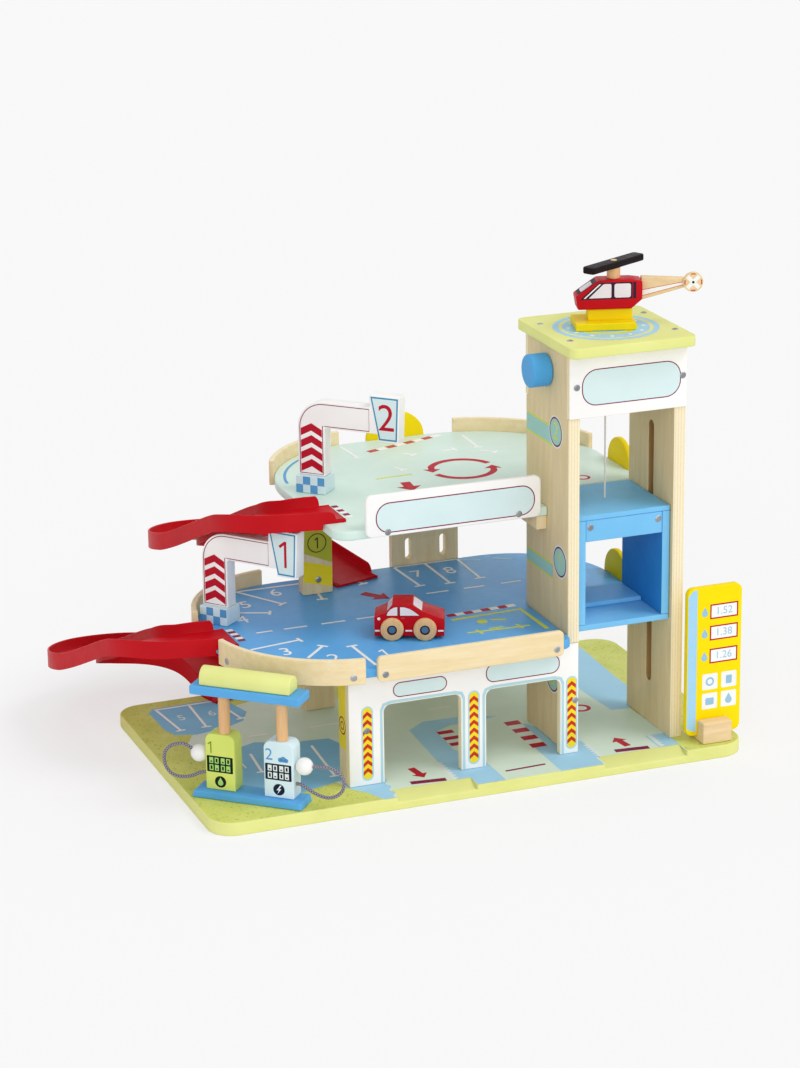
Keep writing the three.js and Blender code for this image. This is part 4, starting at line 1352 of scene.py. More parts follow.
@dataclass(frozen=True)
class WindingGear(Group):
    """The knob, the shaft and the string that winds on it."""

    shaft_z: float = 424.0
    start_x: float = 91.75
    end_x: float = 234.8
    drum_start: float = 143.4
    drum_end: float = 203.4
    thin: float = 4.0
    thick: float = 6.0
    knob_x: float = 84.35
    knob_length: float = 22.1
    knob_radius: float = 17.5
    string_radius: float = 0.9
    string_turns: int = 9
    turn_steps: int = 24
    turn_gap: float = 1.02
    coil_before: float = 18.0
    hanging_steps: int = 90
    lift_top_z: float = 275.8
    shaft_edge: float = 0.6
    knob_edge: float = 2.2
    bore_depth: float = 6.8
    bore_play: float = 0.3

    def build(self) -> None:
        """Makes the shaft, the knob, the turns on the drum and the hanging string."""
        axis = Vector((0, TOWER_Y, self.shaft_z)) * MM
        edge = self.shaft_edge
        spans = [(0, self.start_x), (self.thin - edge, self.start_x), (self.thin, self.start_x + edge),
                 (self.thin, self.drum_start), (self.thick - edge, self.drum_start),
                 (self.thick, self.drum_start + edge), (self.thick, self.drum_end - edge),
                 (self.thick - edge, self.drum_end), (self.thin, self.drum_end), (self.thin, self.end_x - edge),
                 (self.thin - edge, self.end_x), (0, self.end_x)]
        self.shop.spun("winding_shaft", spans, axis, ACROSS, [BEECH_LONG])
        self.knob(axis)
        self.string()

    def knob(self, axis: Vector) -> None:
        """Makes the winding knob with its rounded rims and blind bore.

        Args:
            axis: a point on the shaft's axis.
        """
        radius, length, soft = self.knob_radius, self.knob_length, self.knob_edge
        bore = self.thin + self.bore_play
        spans = [(0.0, 0.0), (radius - soft * 1.6, 0.0)]
        spans += [(radius - soft + soft * sin(a * DEGREE), soft - soft * cos(a * DEGREE))
                  for a in (15, 35, 55, 75, 90)]
        spans += [(radius - soft + soft * cos(a * DEGREE), length - soft + soft * sin(a * DEGREE))
                  for a in (0, 15, 35, 55, 75, 90)]
        spans += [(bore, length), (bore, self.bore_depth), (0.0, self.bore_depth)]
        self.shop.spun("winding_knob", [(r, self.knob_x + x) for r, x in spans], axis, ACROSS, [KNOB_BLUE], 64)

    def string(self) -> None:
        """Makes the turns on the drum and the string that hangs to the lift."""
        radius = self.thick + self.string_radius
        path = []
        for i in range(self.string_turns * self.turn_steps + 1):
            turns = i / self.turn_steps
            a = turns * 2 * pi
            x = TOWER_X - self.coil_before + turns * 2 * self.string_radius * self.turn_gap
            path.append(Vector((x, TOWER_Y + radius * cos(a), self.shaft_z + radius * sin(a))) * MM)
        coil = self.shop.tube("string_on_drum", path, self.string_radius * MM, STRING, 10)
        self.shop.hang(coil, "winder", "string")
        low, high, steps = self.lift_top_z, self.shaft_z - self.thick - 0.3, self.hanging_steps
        hanging = [Vector((TOWER_X, TOWER_Y, high + (low - high) * i / steps)) * MM for i in range(steps + 1)]
        string = self.shop.tube("lift_string", hanging, self.string_radius * MM, STRING, 10)
        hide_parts("lift_cord")
        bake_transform(string, "garage", "lift", start=tuple(hanging[0]), end=tuple(hanging[-1]))
        LOG.info("lift_string bends between garage and lift")


@dataclass(frozen=True)
class Lift(Group):
    """The lift car in pale blue paint, with painted shade: a deeper blue on the inner face of its right wall."""

    inwards: float = -0.9

    def build(self) -> None:
        """Dresses the lift's boards."""
        for node, face in (("lift_floor", Face.Z), ("lift_top", Face.Z), ("lift_left_wall", Face.X),
                           ("lift_right_wall", Face.X), ("lift_lintel", Face.Y), ("lift_step", Face.Z)):
            obj = self.shop.board(node, face, LIFT_BLUE, LIFT_BLUE, EASED)
            # The right wall's inner face gets painted shade, a deeper blue.
            if node == "lift_right_wall":
                self.shop.paint(obj, [LIFT_BLUE, LIFT_SHADE_BLUE], lambda normal, _: 1 if normal.x < self.inwards else 0)


@dataclass(frozen=True)
class GroundHall(Group):
    """The front panel with its arches, the posts and the back panel."""

    front_y: float = -138.6
    side_x: float = -139.0
    post_y: float = 87.2

    def build(self) -> None:
        """Dresses the panel and posts and lays their signs."""
        self.shop.board("ground_front_panel", Face.Y, WHITE, PLY_Y, EASED)
        for node in ("side_post", "lower_rear_post", "upper_rear_post", "deck_2_cleat"):
            self.shop.board(node, Face.Y, BIRCH, BIRCH, EASED)
        self.shop.board("back_panel", Face.Y, BIRCH, PLY_Y, CRISP)
        self.panel_print()
        self.post_prints()

    def panel_print(self) -> None:
        """Lays the sign fields, the striped capsules and the arch outlines on the front panel."""
        ink = front_print("front_panel_print", self.front_y)
        ink.pill(-90, 107.0, -29.7, 123.6, INK_CRIMSON, INK_MINT)
        ink.pill(14, 108, 98, 129, INK_CRIMSON, INK_MINT, radius=9.5)
        over = ((-4.4, 15.4), (-4.4, 96), (-1.4, 102.5), (7, 104.6))
        under = ((-1.6, 15.4), (-1.6, 94), (0.6, 99.5), (8, 101.6))
        for x0, x1 in ((-100.2, -14.1), (14.3, 98.8)):
            outer, inner = ([(x0 + x, z) for x, z in side] + [(x1 - x, z) for x, z in reversed(side)]
                            for side in (over, under))
            ink.fill([outer + inner[::-1]], INK_FRAME, 1)
        for x0, x1 in ((-125.3, -112.3), (-6.4, 6.8), (105.3, 118.4)):
            middle, half = (x0 + x1) / 2, (x1 - x0) / 2
            ink.rectangle(x0, 19.5, x1, 102, INK_FRAME, 2, half - 0.01)
            ink.rectangle(x0 + 1.6, 21.1, x1 - 1.6, 100.4, INK_YELLOW, 3, half - 1.61)
            ink.chevrons(middle, 25.5, 8.9, 8, half - 1.6, 4.2, 4.4, INK_CHEVRON, 4)
        self.shop.lay(ink, "white_paint")

    def post_prints(self) -> None:
        """Lays the badge on the side post and the number field on the rear post."""
        ink = left_print("side_post_print", self.side_x)
        ink.rectangle(108.6, 52, 128.8, 136, INK_YELLOW, 1)
        ink.target(118.7, 77, ((9.8, 0, INK_CRIMSON), (8.2, 0, INK_YELLOW), (5.0, 3.4, INK_CRIMSON)), 2)
        self.shop.lay(ink, "yellow_paint")
        ink = front_print("rear_post_print", self.post_y)
        left, right = -106.8, -73.5
        ink.fill([[(left, 197.7), (right, 183.3), (right, 264.0), (left, 264.0)]], INK_OLIVE, 1)
        ink.fill([[(left, 164.3), (right, 156.1), (right, 179), (left, 188.3)]], INK_YELLOW, 1)
        ink.disc(-90.5, 207.7, 11, INK_PLUM, 2, 9.9)
        ink.number("1", -90.5, 207.7, 13, INK_PLUM, layer=3)
        self.shop.lay(ink, "yellow_paint")


@dataclass(frozen=True)
class Decks(Group):
    """The two parking decks with their rails, name board and stops."""

    first: float = 149.0
    second: float = 275.0
    name_y: float = -92.0
    level: float = 0.9

    def build(self) -> None:
        """Dresses decks, rails and stops, and lays their marks."""
        for node, finish in (("deck_1", BLUE), ("deck_2", MINT)):
            self.shop.dressed(node, [finish, UNDERSIDE], ROUND, 4,
                              pick=lambda normal, _: 1 if normal.z < -self.level else 0)
        for node in ("deck_1_front_rail", "deck_1_corner_rail", "deck_1_rear_rail", "deck_2_left_rail",
                     "deck_2_rear_rail"):
            self.shop.dressed(node, [BIRCH_LONG, PLY_Y], SOFT, 4,
                         pick=lambda normal, _: 1 if abs(normal.z) > self.level else 0)
        for node, face in (("deck_2_back_stop", Face.Y), ("deck_2_side_stop", Face.X), ("deck_1_side_stop", Face.X)):
            self.shop.board(node, face, YELLOW, YELLOW, SOFT)
        self.shop.board("deck_2_name_board", Face.Y, WHITE, WHITE, SOFT)
        ink = front_print("name_field", self.name_y)
        ink.pill(-88.6, 270.5, 89.7, 303.5, INK_CRIMSON, INK_MINT, 1.2, 15.5)
        self.shop.lay(ink, "white_paint")
        self.first_marks()
        self.second_marks()

    def first_marks(self) -> None:
        """Lays bays, numbers, dashes and arrows on the first deck."""
        ink = flat_print("deck_1_print", self.first)
        ink.stroke([(19, 139.5), (94, 139)], 3.5, INK_WHITE, 2)
        ink.stroke([(-171, 129), (-83, 128)], 3.5, INK_WHITE, 2)
        lines = (((18, 138), (22, 69)), ((55, 137), (56, 65)), ((94, 139), (93, 68)), ((-171, 129), (-137, 71)),
                 ((-85, 128), (-92, 69)), ((-190, 62), (-159, 49)), ((-215, -53), (-158, -44)),
                 ((-168, -99), (-142, -71)), ((-111, -146), (-114, -83)), ((-41, 125), (-33, 100)))
        for foot, head in lines:
            ink.tee(foot, head, 12, 3.2, INK_WHITE)
        numbers = (("7", 34, 108), ("8", 72, 105), ("6", -132, 109), ("5", -175, 84), ("4", -193, 39),
                   ("3", -183, -73), ("2", -143, -110), ("1", -90, -116))
        for text, x, y in numbers:
            ink.number(text, x, y, 22, INK_WHITE, squeeze=0.9, layer=3)
        for y, spans in ((-6, ((-193, -175), (-162, -136), (-120, -93), (-80, -59))),
                         (42, ((19, 45), (63, 87), (107, 131)))):
            for x0, x1 in spans:
                ink.rectangle(x0, y - 1.6, x1, y + 1.6, INK_WHITE, 2)
        ink.bars((12, -35), (93, -30), 8, 8, (INK_RED, INK_WHITE), 3)
        ink.stroke([(12, -49), (93, -45), (95, -113)], 5, INK_RING_YELLOW, 3)
        ink.stroke([(12, -93), (82, -97)], 3.4, INK_RING_YELLOW, 4)
        ink.tee((46, -96), (46, -90), 16, 3, INK_RING_YELLOW)
        for x in (24, 70):
            ink.stroke([(x, -88), (x + 2, -102)], 3, INK_RING_YELLOW, 5)
        ink.disc(40, -66, 6, INK_RING_YELLOW, 5)
        ink.stroke([(50, -64), (66, -70)], 4, INK_RING_YELLOW, 5)
        ink.arrow((-45, 70), (-24, 43), 10, 24, INK_RED, 9)
        ink.bars((-217, 16), (-214, -24), 8, 6, (INK_WHITE, INK_CRIMSON), 3)
        for start, end in (((96, 135), (117, 126)), ((132, 127), (151, 115))):
            ink.stroke([start, end], 5, INK_SKY, 2)
        self.shop.lay(ink, "blue_paint")

    def second_marks(self) -> None:
        """Lays the turning ring, bays and arrows on the second deck."""
        ink = flat_print("deck_2_print", self.second)
        for start in (15, 195):
            ink.arc(76, 76, 35, start, start + 135, 7.5, INK_RED, 3)
            ink.arrow(around(76, 76, 35, start + 134), around(76, 76, 35, start + 166), 7, 19, INK_RED, 4)
        ink.arrow((0, 54), (-3, 22), 11, 27, INK_RED, 3)
        ink.bars((4, 177), (102, 208), 8, 8, (INK_ROSE, INK_WHITE), 3)
        lines = (((-18, 208), (-15, 160)), ((125, 198), (123, 146)), ((37, 158), (46, 146)), ((81, 148), (96, 149)),
                 ((120, 134), (134, 121)), ((9, 110), (15, 97)))
        for foot, head in lines:
            ink.tee(foot, head, 11, 3.2, INK_WHITE)
        ink.arc(2, 87, 121, 118, 174, 3.2, INK_MID_BLUE, 2)
        ink.bars((-100, 5), (-97, -40), 7, 6, (INK_CRIMSON, INK_WHITE), 3)
        ink.stroke([(-25, 77), (18, 79)], 3, INK_RING_YELLOW, 3)
        ink.target(183.2, -6.6, ((9, 0, INK_WHITE), (8.2, 5, INK_RED)), 4)
        self.shop.lay(ink, "mint_paint")


@dataclass(frozen=True)
class Ramp(Group):
    """One spiral ramp: a red moulding swept down its centre line."""

    node: str
    x: float
    y: float
    z: float
    drop: float
    run_out: float
    width: float = 55.7
    wall: float = 2.5
    floor: float = 2.0
    outer_rim: float = 10.9
    inner_rim: float = 12.0
    skirt: float = 8.5
    lip: float = 0.6
    lip_skirt: float = 0.3
    first_radius: float = 82.6
    straight: float = 113.0
    second_radius: float = 83.1
    first_turn: float = 77.3
    second_turn: float = 176.5
    tongue: float = 10.7
    outer_over: float = 10.5
    inner_over: float = 20.5
    upper_run_out: float = 78.0
    full_drop: float = 126.0
    step: float = 5.0
    inset: float = 0.45
    rim_run: float = 7.0
    fine: tuple[float, ...] = (0.0, 0.3, 0.8, 1.6, 2.8, 4.4, 6.5, 9.0)
    after_outer: tuple[float, ...] = (11.0, 14.0, 17.0)
    pause: float = 3.0
    spare: float = 4.0
    places: tuple[float, ...] = (0, 0.04, 0.1, 0.2, 0.4, 0.6, 0.8)
    shares: tuple[float, ...] = (0, 0, 0.03, 0.124, 0.517, 0.754, 0.879)

    def legs(self) -> list[tuple[float, float]]:
        """Length and turn of each leg of the centre line."""
        first, second = self.first_turn * DEGREE, self.second_turn * DEGREE
        return [(self.first_radius * first, first), (self.straight, 0.0), (self.second_radius * second, second)]

    def fall_table(self, length: float) -> list[Point]:
        """How far the ramp has come down at each place.

        Args:
            length: length of the whole centre line.

        Returns:
            Rows of place and fall.
        """
        full = sum(leg[0] for leg in self.legs()) + self.upper_run_out
        points = [(p * full, s * self.full_drop) for p, s in zip(self.places, self.shares)] + [(length, self.drop)]
        last = len(points) - 1
        count = len(points) * 24
        table = []
        for k in range(count + 1):
            whole = last * k / count
            i = min(int(whole), last - 1)
            t = whole - i
            near = [points[j] for j in (max(i - 1, 0), i, min(i + 1, last), min(i + 2, last))]
            table.append((self.spline(t, *(p[0] for p in near)), self.spline(t, *(p[1] for p in near))))
        return table

    @staticmethod
    def spline(t: float, a: float, b: float, c: float, d: float) -> float:
        """A value on the smooth curve between the middle two of four."""
        v0, v1 = (c - a) / 2, (d - b) / 2
        return (2 * b - 2 * c + v0 + v1) * t ** 3 + (-3 * b + 3 * c - 2 * v0 - v1) * t ** 2 + v0 * t + b

    def fallen(self, table: list[Point], along: float) -> float:
        """How far the ramp has come down at one place.

        Args:
            table: what fall_table returned.
            along: the place.

        Returns:
            The fall.
        """
        for (x0, y0), (x1, y1) in zip(table, table[1:]):
            if x1 >= along:
                return max(0.0, y0 + (y1 - y0) * (along - x0) / (x1 - x0)) if x1 > x0 else max(0.0, y0)
        return table[-1][1]

    def place(self, along: float) -> tuple[float, float, float]:
        """Place and heading on the centre line.

        Args:
            along: distance from the ramp's upper end.

        Returns:
            Both coordinates and the heading in radians.
        """
        if along < 0:
            return -along, 0.0, pi
        x = y = 0.0
        heading, rest = pi, along
        for length, turn in self.legs():
            part = min(rest, length)
            if turn > 0 and rest > 0:
                radius = length / turn
                angle = part / radius
                x += radius * (sin(heading) - sin(heading - angle))
                y += radius * (cos(heading - angle) - cos(heading))
                heading -= angle
            else:
                x += part * cos(heading)
                y += part * sin(heading)
            rest -= part
        return x + rest * cos(heading), y + rest * sin(heading), heading

    def rim(self, along: float, length: float, full: float) -> float:
        """Height of a wall's rim, round where the wall begins and ends.

        Args:
            along: the place.
            length: length of the whole centre line.
            full: the wall's full height.

        Returns:
            The height.
        """
        run = self.rim_run
        reach = max(0.0, min(along, length - along, run))
        return self.lip + (full - self.lip) * sqrt(max(0.0, 1 - (1 - reach / run) ** 2))

    def section(self, outer_rim: float, inner_rim: float, outer_skirt: float, inner_skirt: float) -> list[Point]:
        """The channel's outline with rounded rims and a filleted floor.

        Args:
            outer_rim, inner_rim: heights of the walls over the floor.
            outer_skirt, inner_skirt: how far the sides reach below it.

        Returns:
            Distance to the outer side and height of each corner.
        """
        half = self.width / 2 - self.inset
        inner = self.width / 2 - self.wall
        outline = [(half, -outer_skirt)]
        outline += self.rounded_top(half, inner, outer_rim)
        outline += [(inner, 1.2), (inner - 0.5, 0.3), (inner - 1.4, 0.0), (-inner + 1.4, 0.0), (-inner + 0.5, 0.3),
                    (-inner, 1.2)]
        outline += self.rounded_top(-inner, -half, inner_rim)
        outline += [(-half, -inner_skirt), (-inner, -inner_skirt), (-inner, -self.floor), (inner, -self.floor),
                    (inner, -outer_skirt)]
        return outline

    @staticmethod
    def rounded_top(first: float, second: float, top: float) -> list[Point]:
        """The round rim between a wall's two sides.

        Args:
            first, second: where the sides stand.
            top: the rim's height.

        Returns:
            Its points.
        """
        middle, radius = (first + second) / 2, (first - second) / 2
        high = max(top - radius, top * 0.3)
        return [(middle + radius * cos(a * DEGREE), high + (top - high) * sin(a * DEGREE))
                for a in (0, 25, 50, 75, 105, 130, 155, 180)]

    def stations(self, length: float) -> list[float]:
        """Where the sections stand: close together where a wall or a skirt begins or ends.

        Args:
            length: length of the whole centre line.

        Returns:
            Their places on it.
        """
        starts = [-self.tongue, *self.fine, self.outer_over, *self.after_outer]
        starts += [self.inner_over + s for s in self.fine[:-1]]
        ends = [length - s for s in reversed(self.fine)]
        first, last = starts[-1] + self.pause, ends[0] - self.pause
        count = int((ends[0] - starts[-1] - self.spare) / self.step)
        even = [first + (last - first) * i / count for i in range(count + 1)]
        return starts + even + ends + [length + self.tongue]

    def build(self) -> None:
        """Sweeps the moulding."""
        length = sum(leg[0] for leg in self.legs()) + self.run_out
        table = self.fall_table(length)
        bm = bmesh.new()
        rings = []
        for along in self.stations(length):
            x, y, heading = self.place(along)
            inside = min(max(along, 0.0), length)
            height = self.drop - self.fallen(table, inside)
            shallow = self.floor + self.lip_skirt
            deepest = min(self.skirt, height + shallow)
            outer_skirt = shallow if along <= self.outer_over else deepest
            inner_skirt = shallow if along <= self.inner_over else deepest
            outer, inner = (self.rim(along, length, full) for full in (self.outer_rim, self.inner_rim))
            side = (-sin(heading), cos(heading))
            ring = [bm.verts.new(Vector((self.x + x + side[0] * out, self.y + y + side[1] * out,
                                         self.z + height + up)) * MM)
                    for out, up in self.section(outer, inner, outer_skirt, inner_skirt)]
            rings.append(ring)
        size = len(rings[0])
        for a, b in zip(rings, rings[1:]):
            for i in range(size):
                j = (i + 1) % size
                bm.faces.new((a[i], a[j], b[j], b[i])).smooth = True
        bm.faces.new(rings[0])
        bm.faces.new(list(reversed(rings[-1])))
        bmesh.ops.triangulate(bm, faces=[f for f in bm.faces if len(f.verts) > 4])
        bmesh.ops.recalc_face_normals(bm, faces=bm.faces)
        moulding = self.shop.meshed(f"{self.node}_moulded", bm, [RED_PLASTIC], 42.0)
        self.shop.hang(moulding, "garage", "red_plastic", [self.node])


@dataclass(frozen=True)
class LevelSign(Group):
    """A level sign: a checked block and a board with a tag on its arm."""

    number: int
    stand: Standing
    front: float = 5.5
    block_width: float = 34.2
    block_height: float = 18.7
    check_rim: float = 0.4

    def build(self) -> None:
        """Dresses the sign and lays its check, chevrons and number."""
        body = f"level_sign_{self.number}"
        for node, finish in ((f"{body}_base", PALE_BLUE), (f"{body}_board", WHITE)):
            self.shop.dressed(node, [finish], EASED)
        self.check(body)
        self.face(body)

    def check(self, body: str) -> None:
        """Args:
            body: the body that carries it.
        """
        ink = self.stand.front_print(f"{body}_check", 0, 0, 0)
        cell, row, rim = self.block_width / 4, self.block_height / 2, self.check_rim
        for i, k in ((0, 0), (1, 1), (2, 0), (3, 1)):
            ink.rectangle(i * cell + rim * (i == 0), k * row + rim * (k == 0), (i + 1) * cell - rim * (i == 3),
                          (k + 1) * row - rim * (k == 1), INK_MID_BLUE)
        self.shop.lay(ink, "pale_blue_paint", body)

    def face(self, body: str) -> None:
        """Lays outline, chevrons and the tag on the board's front.

        Args:
            body: the body that carries it.
        """
        ink = self.stand.front_print(f"{body}_face", 0, self.front, 0)
        outline = [(3.6, 20.9), (30.2, 20.9), (30.2, 74.6), (35, 74.6), (84.6, 74.6), (84.6, 98.6)]
        outline += [around(31, 71.2, 27.4, a) for a in range(90, 181, 10)]
        ink.stroke(outline + [outline[0]], 0.9, INK_CRIMSON, 2)
        ink.chevrons(17, 22.4, 13.2, 4, 12.4, 6.4, 8.2, INK_RED)
        ink.fill([[(96, 66.2), (116.6, 66.2), (118.5, 113), (86.6, 113)]], INK_TAG_BLUE, 1)
        ink.fill([[(97.4, 68), (115, 68), (116.7, 111.3), (88.6, 111.3)]], INK_MINT, 2)
        ink.number(str(self.number), 104.5, 89.5, 30, INK_RED, layer=3)
        self.shop.lay(ink, "white_paint", body)


@dataclass(frozen=True)
class PriceSign(Group):
    """The yellow price sign in its foot."""

    front: float = -157.0
    left: float = 237.5

    def build(self) -> None:
        """Dresses board and foot and lays the generic price boxes."""
        self.shop.board("price_sign_board", Face.Y, SIGN_YELLOW, SIGN_YELLOW, 0.001)
        self.shop.board("price_sign_foot", Face.X, PALE_BEECH, PALE_BEECH, SOFT)
        ink = front_print("price_sign_print", self.front)
        left = self.left
        ink.fill([[(left + 0.8, 28), (left + 11.5, 24), (left + 11.5, 185), (left + 6, 184), (left + 0.8, 178)]],
                 INK_SKY, 1)
        for low, digits in ((150.0, "1.52"), (126.0, "1.38"), (100.0, "1.26")):
            ink.rectangle(264, low, 297, low + 16.6, INK_RED, 1)
            ink.rectangle(265.6, low + 1.6, 295.4, low + 15, INK_WHITE, 2)
            ink.number(digits, 280.5, low + 8.2, 8.5, INK_DIGIT_BLUE, layer=3)
            self.drop(ink, 257.8, low + 8, 3.6, INK_DIGIT_BLUE, 2)
        for x0 in (256.0, 278.5):
            for z0 in (70.5, 48.5):
                ink.rectangle(x0, z0, x0 + 18, z0 + 18, INK_WHITE, 1, 1.5)
        ink.disc(265, 79.5, 5, INK_DIGIT_BLUE, 2, 3)
        ink.rectangle(284, 74.5, 291, 84, INK_DIGIT_BLUE, 2, 1.2)
        ink.rectangle(260, 53, 270, 61, INK_DIGIT_BLUE, 2, 1.5)
        self.drop(ink, 287.5, 57, 4, INK_DIGIT_BLUE, 2)
        self.shop.lay(ink, "yellow_paint", "price_board")

    @staticmethod
    def drop(ink: Print, x: float, y: float, radius: float, colour: Finish, layer: int) -> None:
        """Lays a drop."""
        points = [around(x, y - radius * 0.3, radius, a) for a in range(-210, 31, 20)]
        ink.fill([points + [(x, y + radius * 1.7)]], colour, layer)


@dataclass(frozen=True)
class PumpIsland(Group):
    """The pump island with its canopy, pumps and hoses."""

    stand: Standing = Standing(-297.6, -97.4, 14.6, -41.6)
    ground: float = 14.6
    middle: float = 15.0
    pump_front: float = 8.0
    pump_low: float = 8.0
    bead_radius: float = 9.2
    bead_z: float = 58.3
    hose_radius: float = 1.75
    post_radius: float = 6.0
    post_low: float = 69.7
    post_height: float = 43.1
    route_1: tuple[Point, ...] = (
        (-5.32, 62.44), (-8.82, 64.07), (-14.5, 66.1), (-20.7, 65.3), (-29.9, 61.3), (-35.8, 53.9), (-36.8, 44.9),
        (-34.2, 36.3), (-27.6, 30.4), (-17.5, 29), (-6.1, 31.6), (2, 35.8), (9.1, 38), (12.7, 38))
    route_2: tuple[Point, ...] = (
        (129.9, 58.8), (133.4, 59.2), (139.5, 59.9), (150.4, 59.4), (159.1, 55), (163.3, 46.8), (162, 37.9),
        (155.3, 30.4), (145.4, 26.9), (134.4, 28.7), (125.7, 32.6), (119.5, 36), (114.6, 38), (111, 38))

    def hoses(self) -> None:
        """Makes the nozzle beads and the braided hoses."""
        for number, route, bead_x in ((1, self.route_1, 3.5), (2, self.route_2, 120.2)):
            centre = self.stand.at(bead_x, self.middle, self.bead_z - self.ground)
            angles = [i * pi / 24 for i in range(25)]
            ball = [(self.bead_radius * sin(a), -self.bead_radius * cos(a)) for a in angles]
            bead = self.shop.spun(f"nozzle_bead_{number}", ball, centre, UP, [BEAD_WHITE])
            path = [self.stand.at(x, self.middle, z - self.ground) for x, z in reversed(smooth(route))]
            length = sum((b - a).length for a, b in zip(path, path[1:]))
            hose = self.shop.tube(f"pump_hose_{number}_braided", path, self.hose_radius * MM, BRAID, 16)
            self.shop.hang(hose, "pump_island", "hose_braid", [f"pump_hose_{number}"])
            tuple(path[0])
            [tuple(p) for p in path]
            LOG.info("hose %s is %.1f mm long", number, length / MM)

    def build(self) -> None:
        """Dresses the island, the pumps and the canopy."""
        for node, finish, bevel in (("pump_island_base", ISLAND_BLUE, SOFT), ("pump_canopy", ISLAND_BLUE, 0.0014),
                                    ("pump_canopy_block", CANOPY, SOFT), ("pump_1", GREEN, SOFT),
                                    ("pump_2", PALE_BLUE, SOFT)):
            self.shop.dressed(node, [finish], bevel, angle=40.0)
        radius, height = self.post_radius, self.post_height
        post = [(0, 0), (radius, 0), (radius, height), (0, height)]
        for number, along in ((1, 32.5), (2, 96.4)):
            self.shop.spun(f"canopy_post_{number}", post, self.stand.at(along, self.middle, self.post_low), UP, [BEECH])
        self.pump_prints()

    def pump_prints(self) -> None:
        """Lays the displays, dials and numbers on the pumps."""
        ink = self.stand.front_print("pump_print", 0, self.pump_front, self.pump_low)
        for number, left, dark, digit in ((1, 13.0, INK_BLACK, INK_DIGIT_GREEN), (2, 78.0, INK_NAVY, INK_SOFT_WHITE)):
            ink.rectangle(left + 1.6, 19.5, left + 30.6, 37.3, dark, 1, 1)
            for k, row in enumerate((21.2, 29.2)):
                for i in range(4):
                    x = left + 4.4 + i * 6.0 + 0.8 * (i > 1)
                    ink.rectangle(x, row, x + 4.4, row + 6.4, digit, 2)
                    ink.rectangle(x + 1.2, row + 1.2, x + 3.2, row + (2.6 if (i + k) % 2 else 5.2), dark, 3)
            ink.disc(left + 16.3, 9.3, 6.3, dark, 1)
            ink.number(str(number), left + 6, 46.5, 13, INK_DARK_OLIVE if number == 1 else INK_MID_BLUE)
        PriceSign.drop(ink, 29.3, 9.0, 3.0, INK_DIGIT_GREEN, 2)
        ink.fill([[(95.8, 14.2), (91.6, 8.4), (94.0, 8.4), (92.6, 4.4), (97.0, 10.2), (94.6, 10.2), (97.4, 14.2)]],
                 INK_SOFT_WHITE, 2)
        for x, z, radius in ((96.5, 42.2, 2.6), (99.8, 43.0, 3.2), (103.0, 42.0, 2.4)):
            ink.disc(x, z, radius, INK_MID_BLUE, 1)
        self.shop.lay(ink, "green_paint", "pump_island")


def smooth(points: Sequence[Point], parts: int = 3) -> list[Point]:
    """Finer points on a smooth curve through a route, spaced by the square root of each chord.

    Args:
        points: the route.
        parts: steps from one of its points to the next.

    Returns:
        The points of the curve.
    """
    ends = [(2 * points[0][0] - points[1][0], 2 * points[0][1] - points[1][1])] + list(points)
    ends.append((2 * points[-1][0] - points[-2][0], 2 * points[-1][1] - points[-2][1]))
    fine = []
    for k in range(1, len(ends) - 2):
        p = ends[k - 1 : k + 3]
        t = [0.0]
        for a, b in zip(p, p[1:]):
            t.append(t[-1] + dist(a, b) ** 0.5)
        for i in range(parts):
            s = t[1] + (t[2] - t[1]) * i / parts

            def between(a: Point, b: Point, ta: float, tb: float) -> Point:
                """A point between two others at the running place."""
                share = (s - ta) / (tb - ta)
                return a[0] + (b[0] - a[0]) * share, a[1] + (b[1] - a[1]) * share

            a1, a2, a3 = (between(p[j], p[j + 1], t[j], t[j + 1]) for j in range(3))
            b1, b2 = between(a1, a2, t[0], t[2]), between(a2, a3, t[1], t[3])
            fine.append(between(b1, b2, t[1], t[2]))
    return fine + [points[-1]]


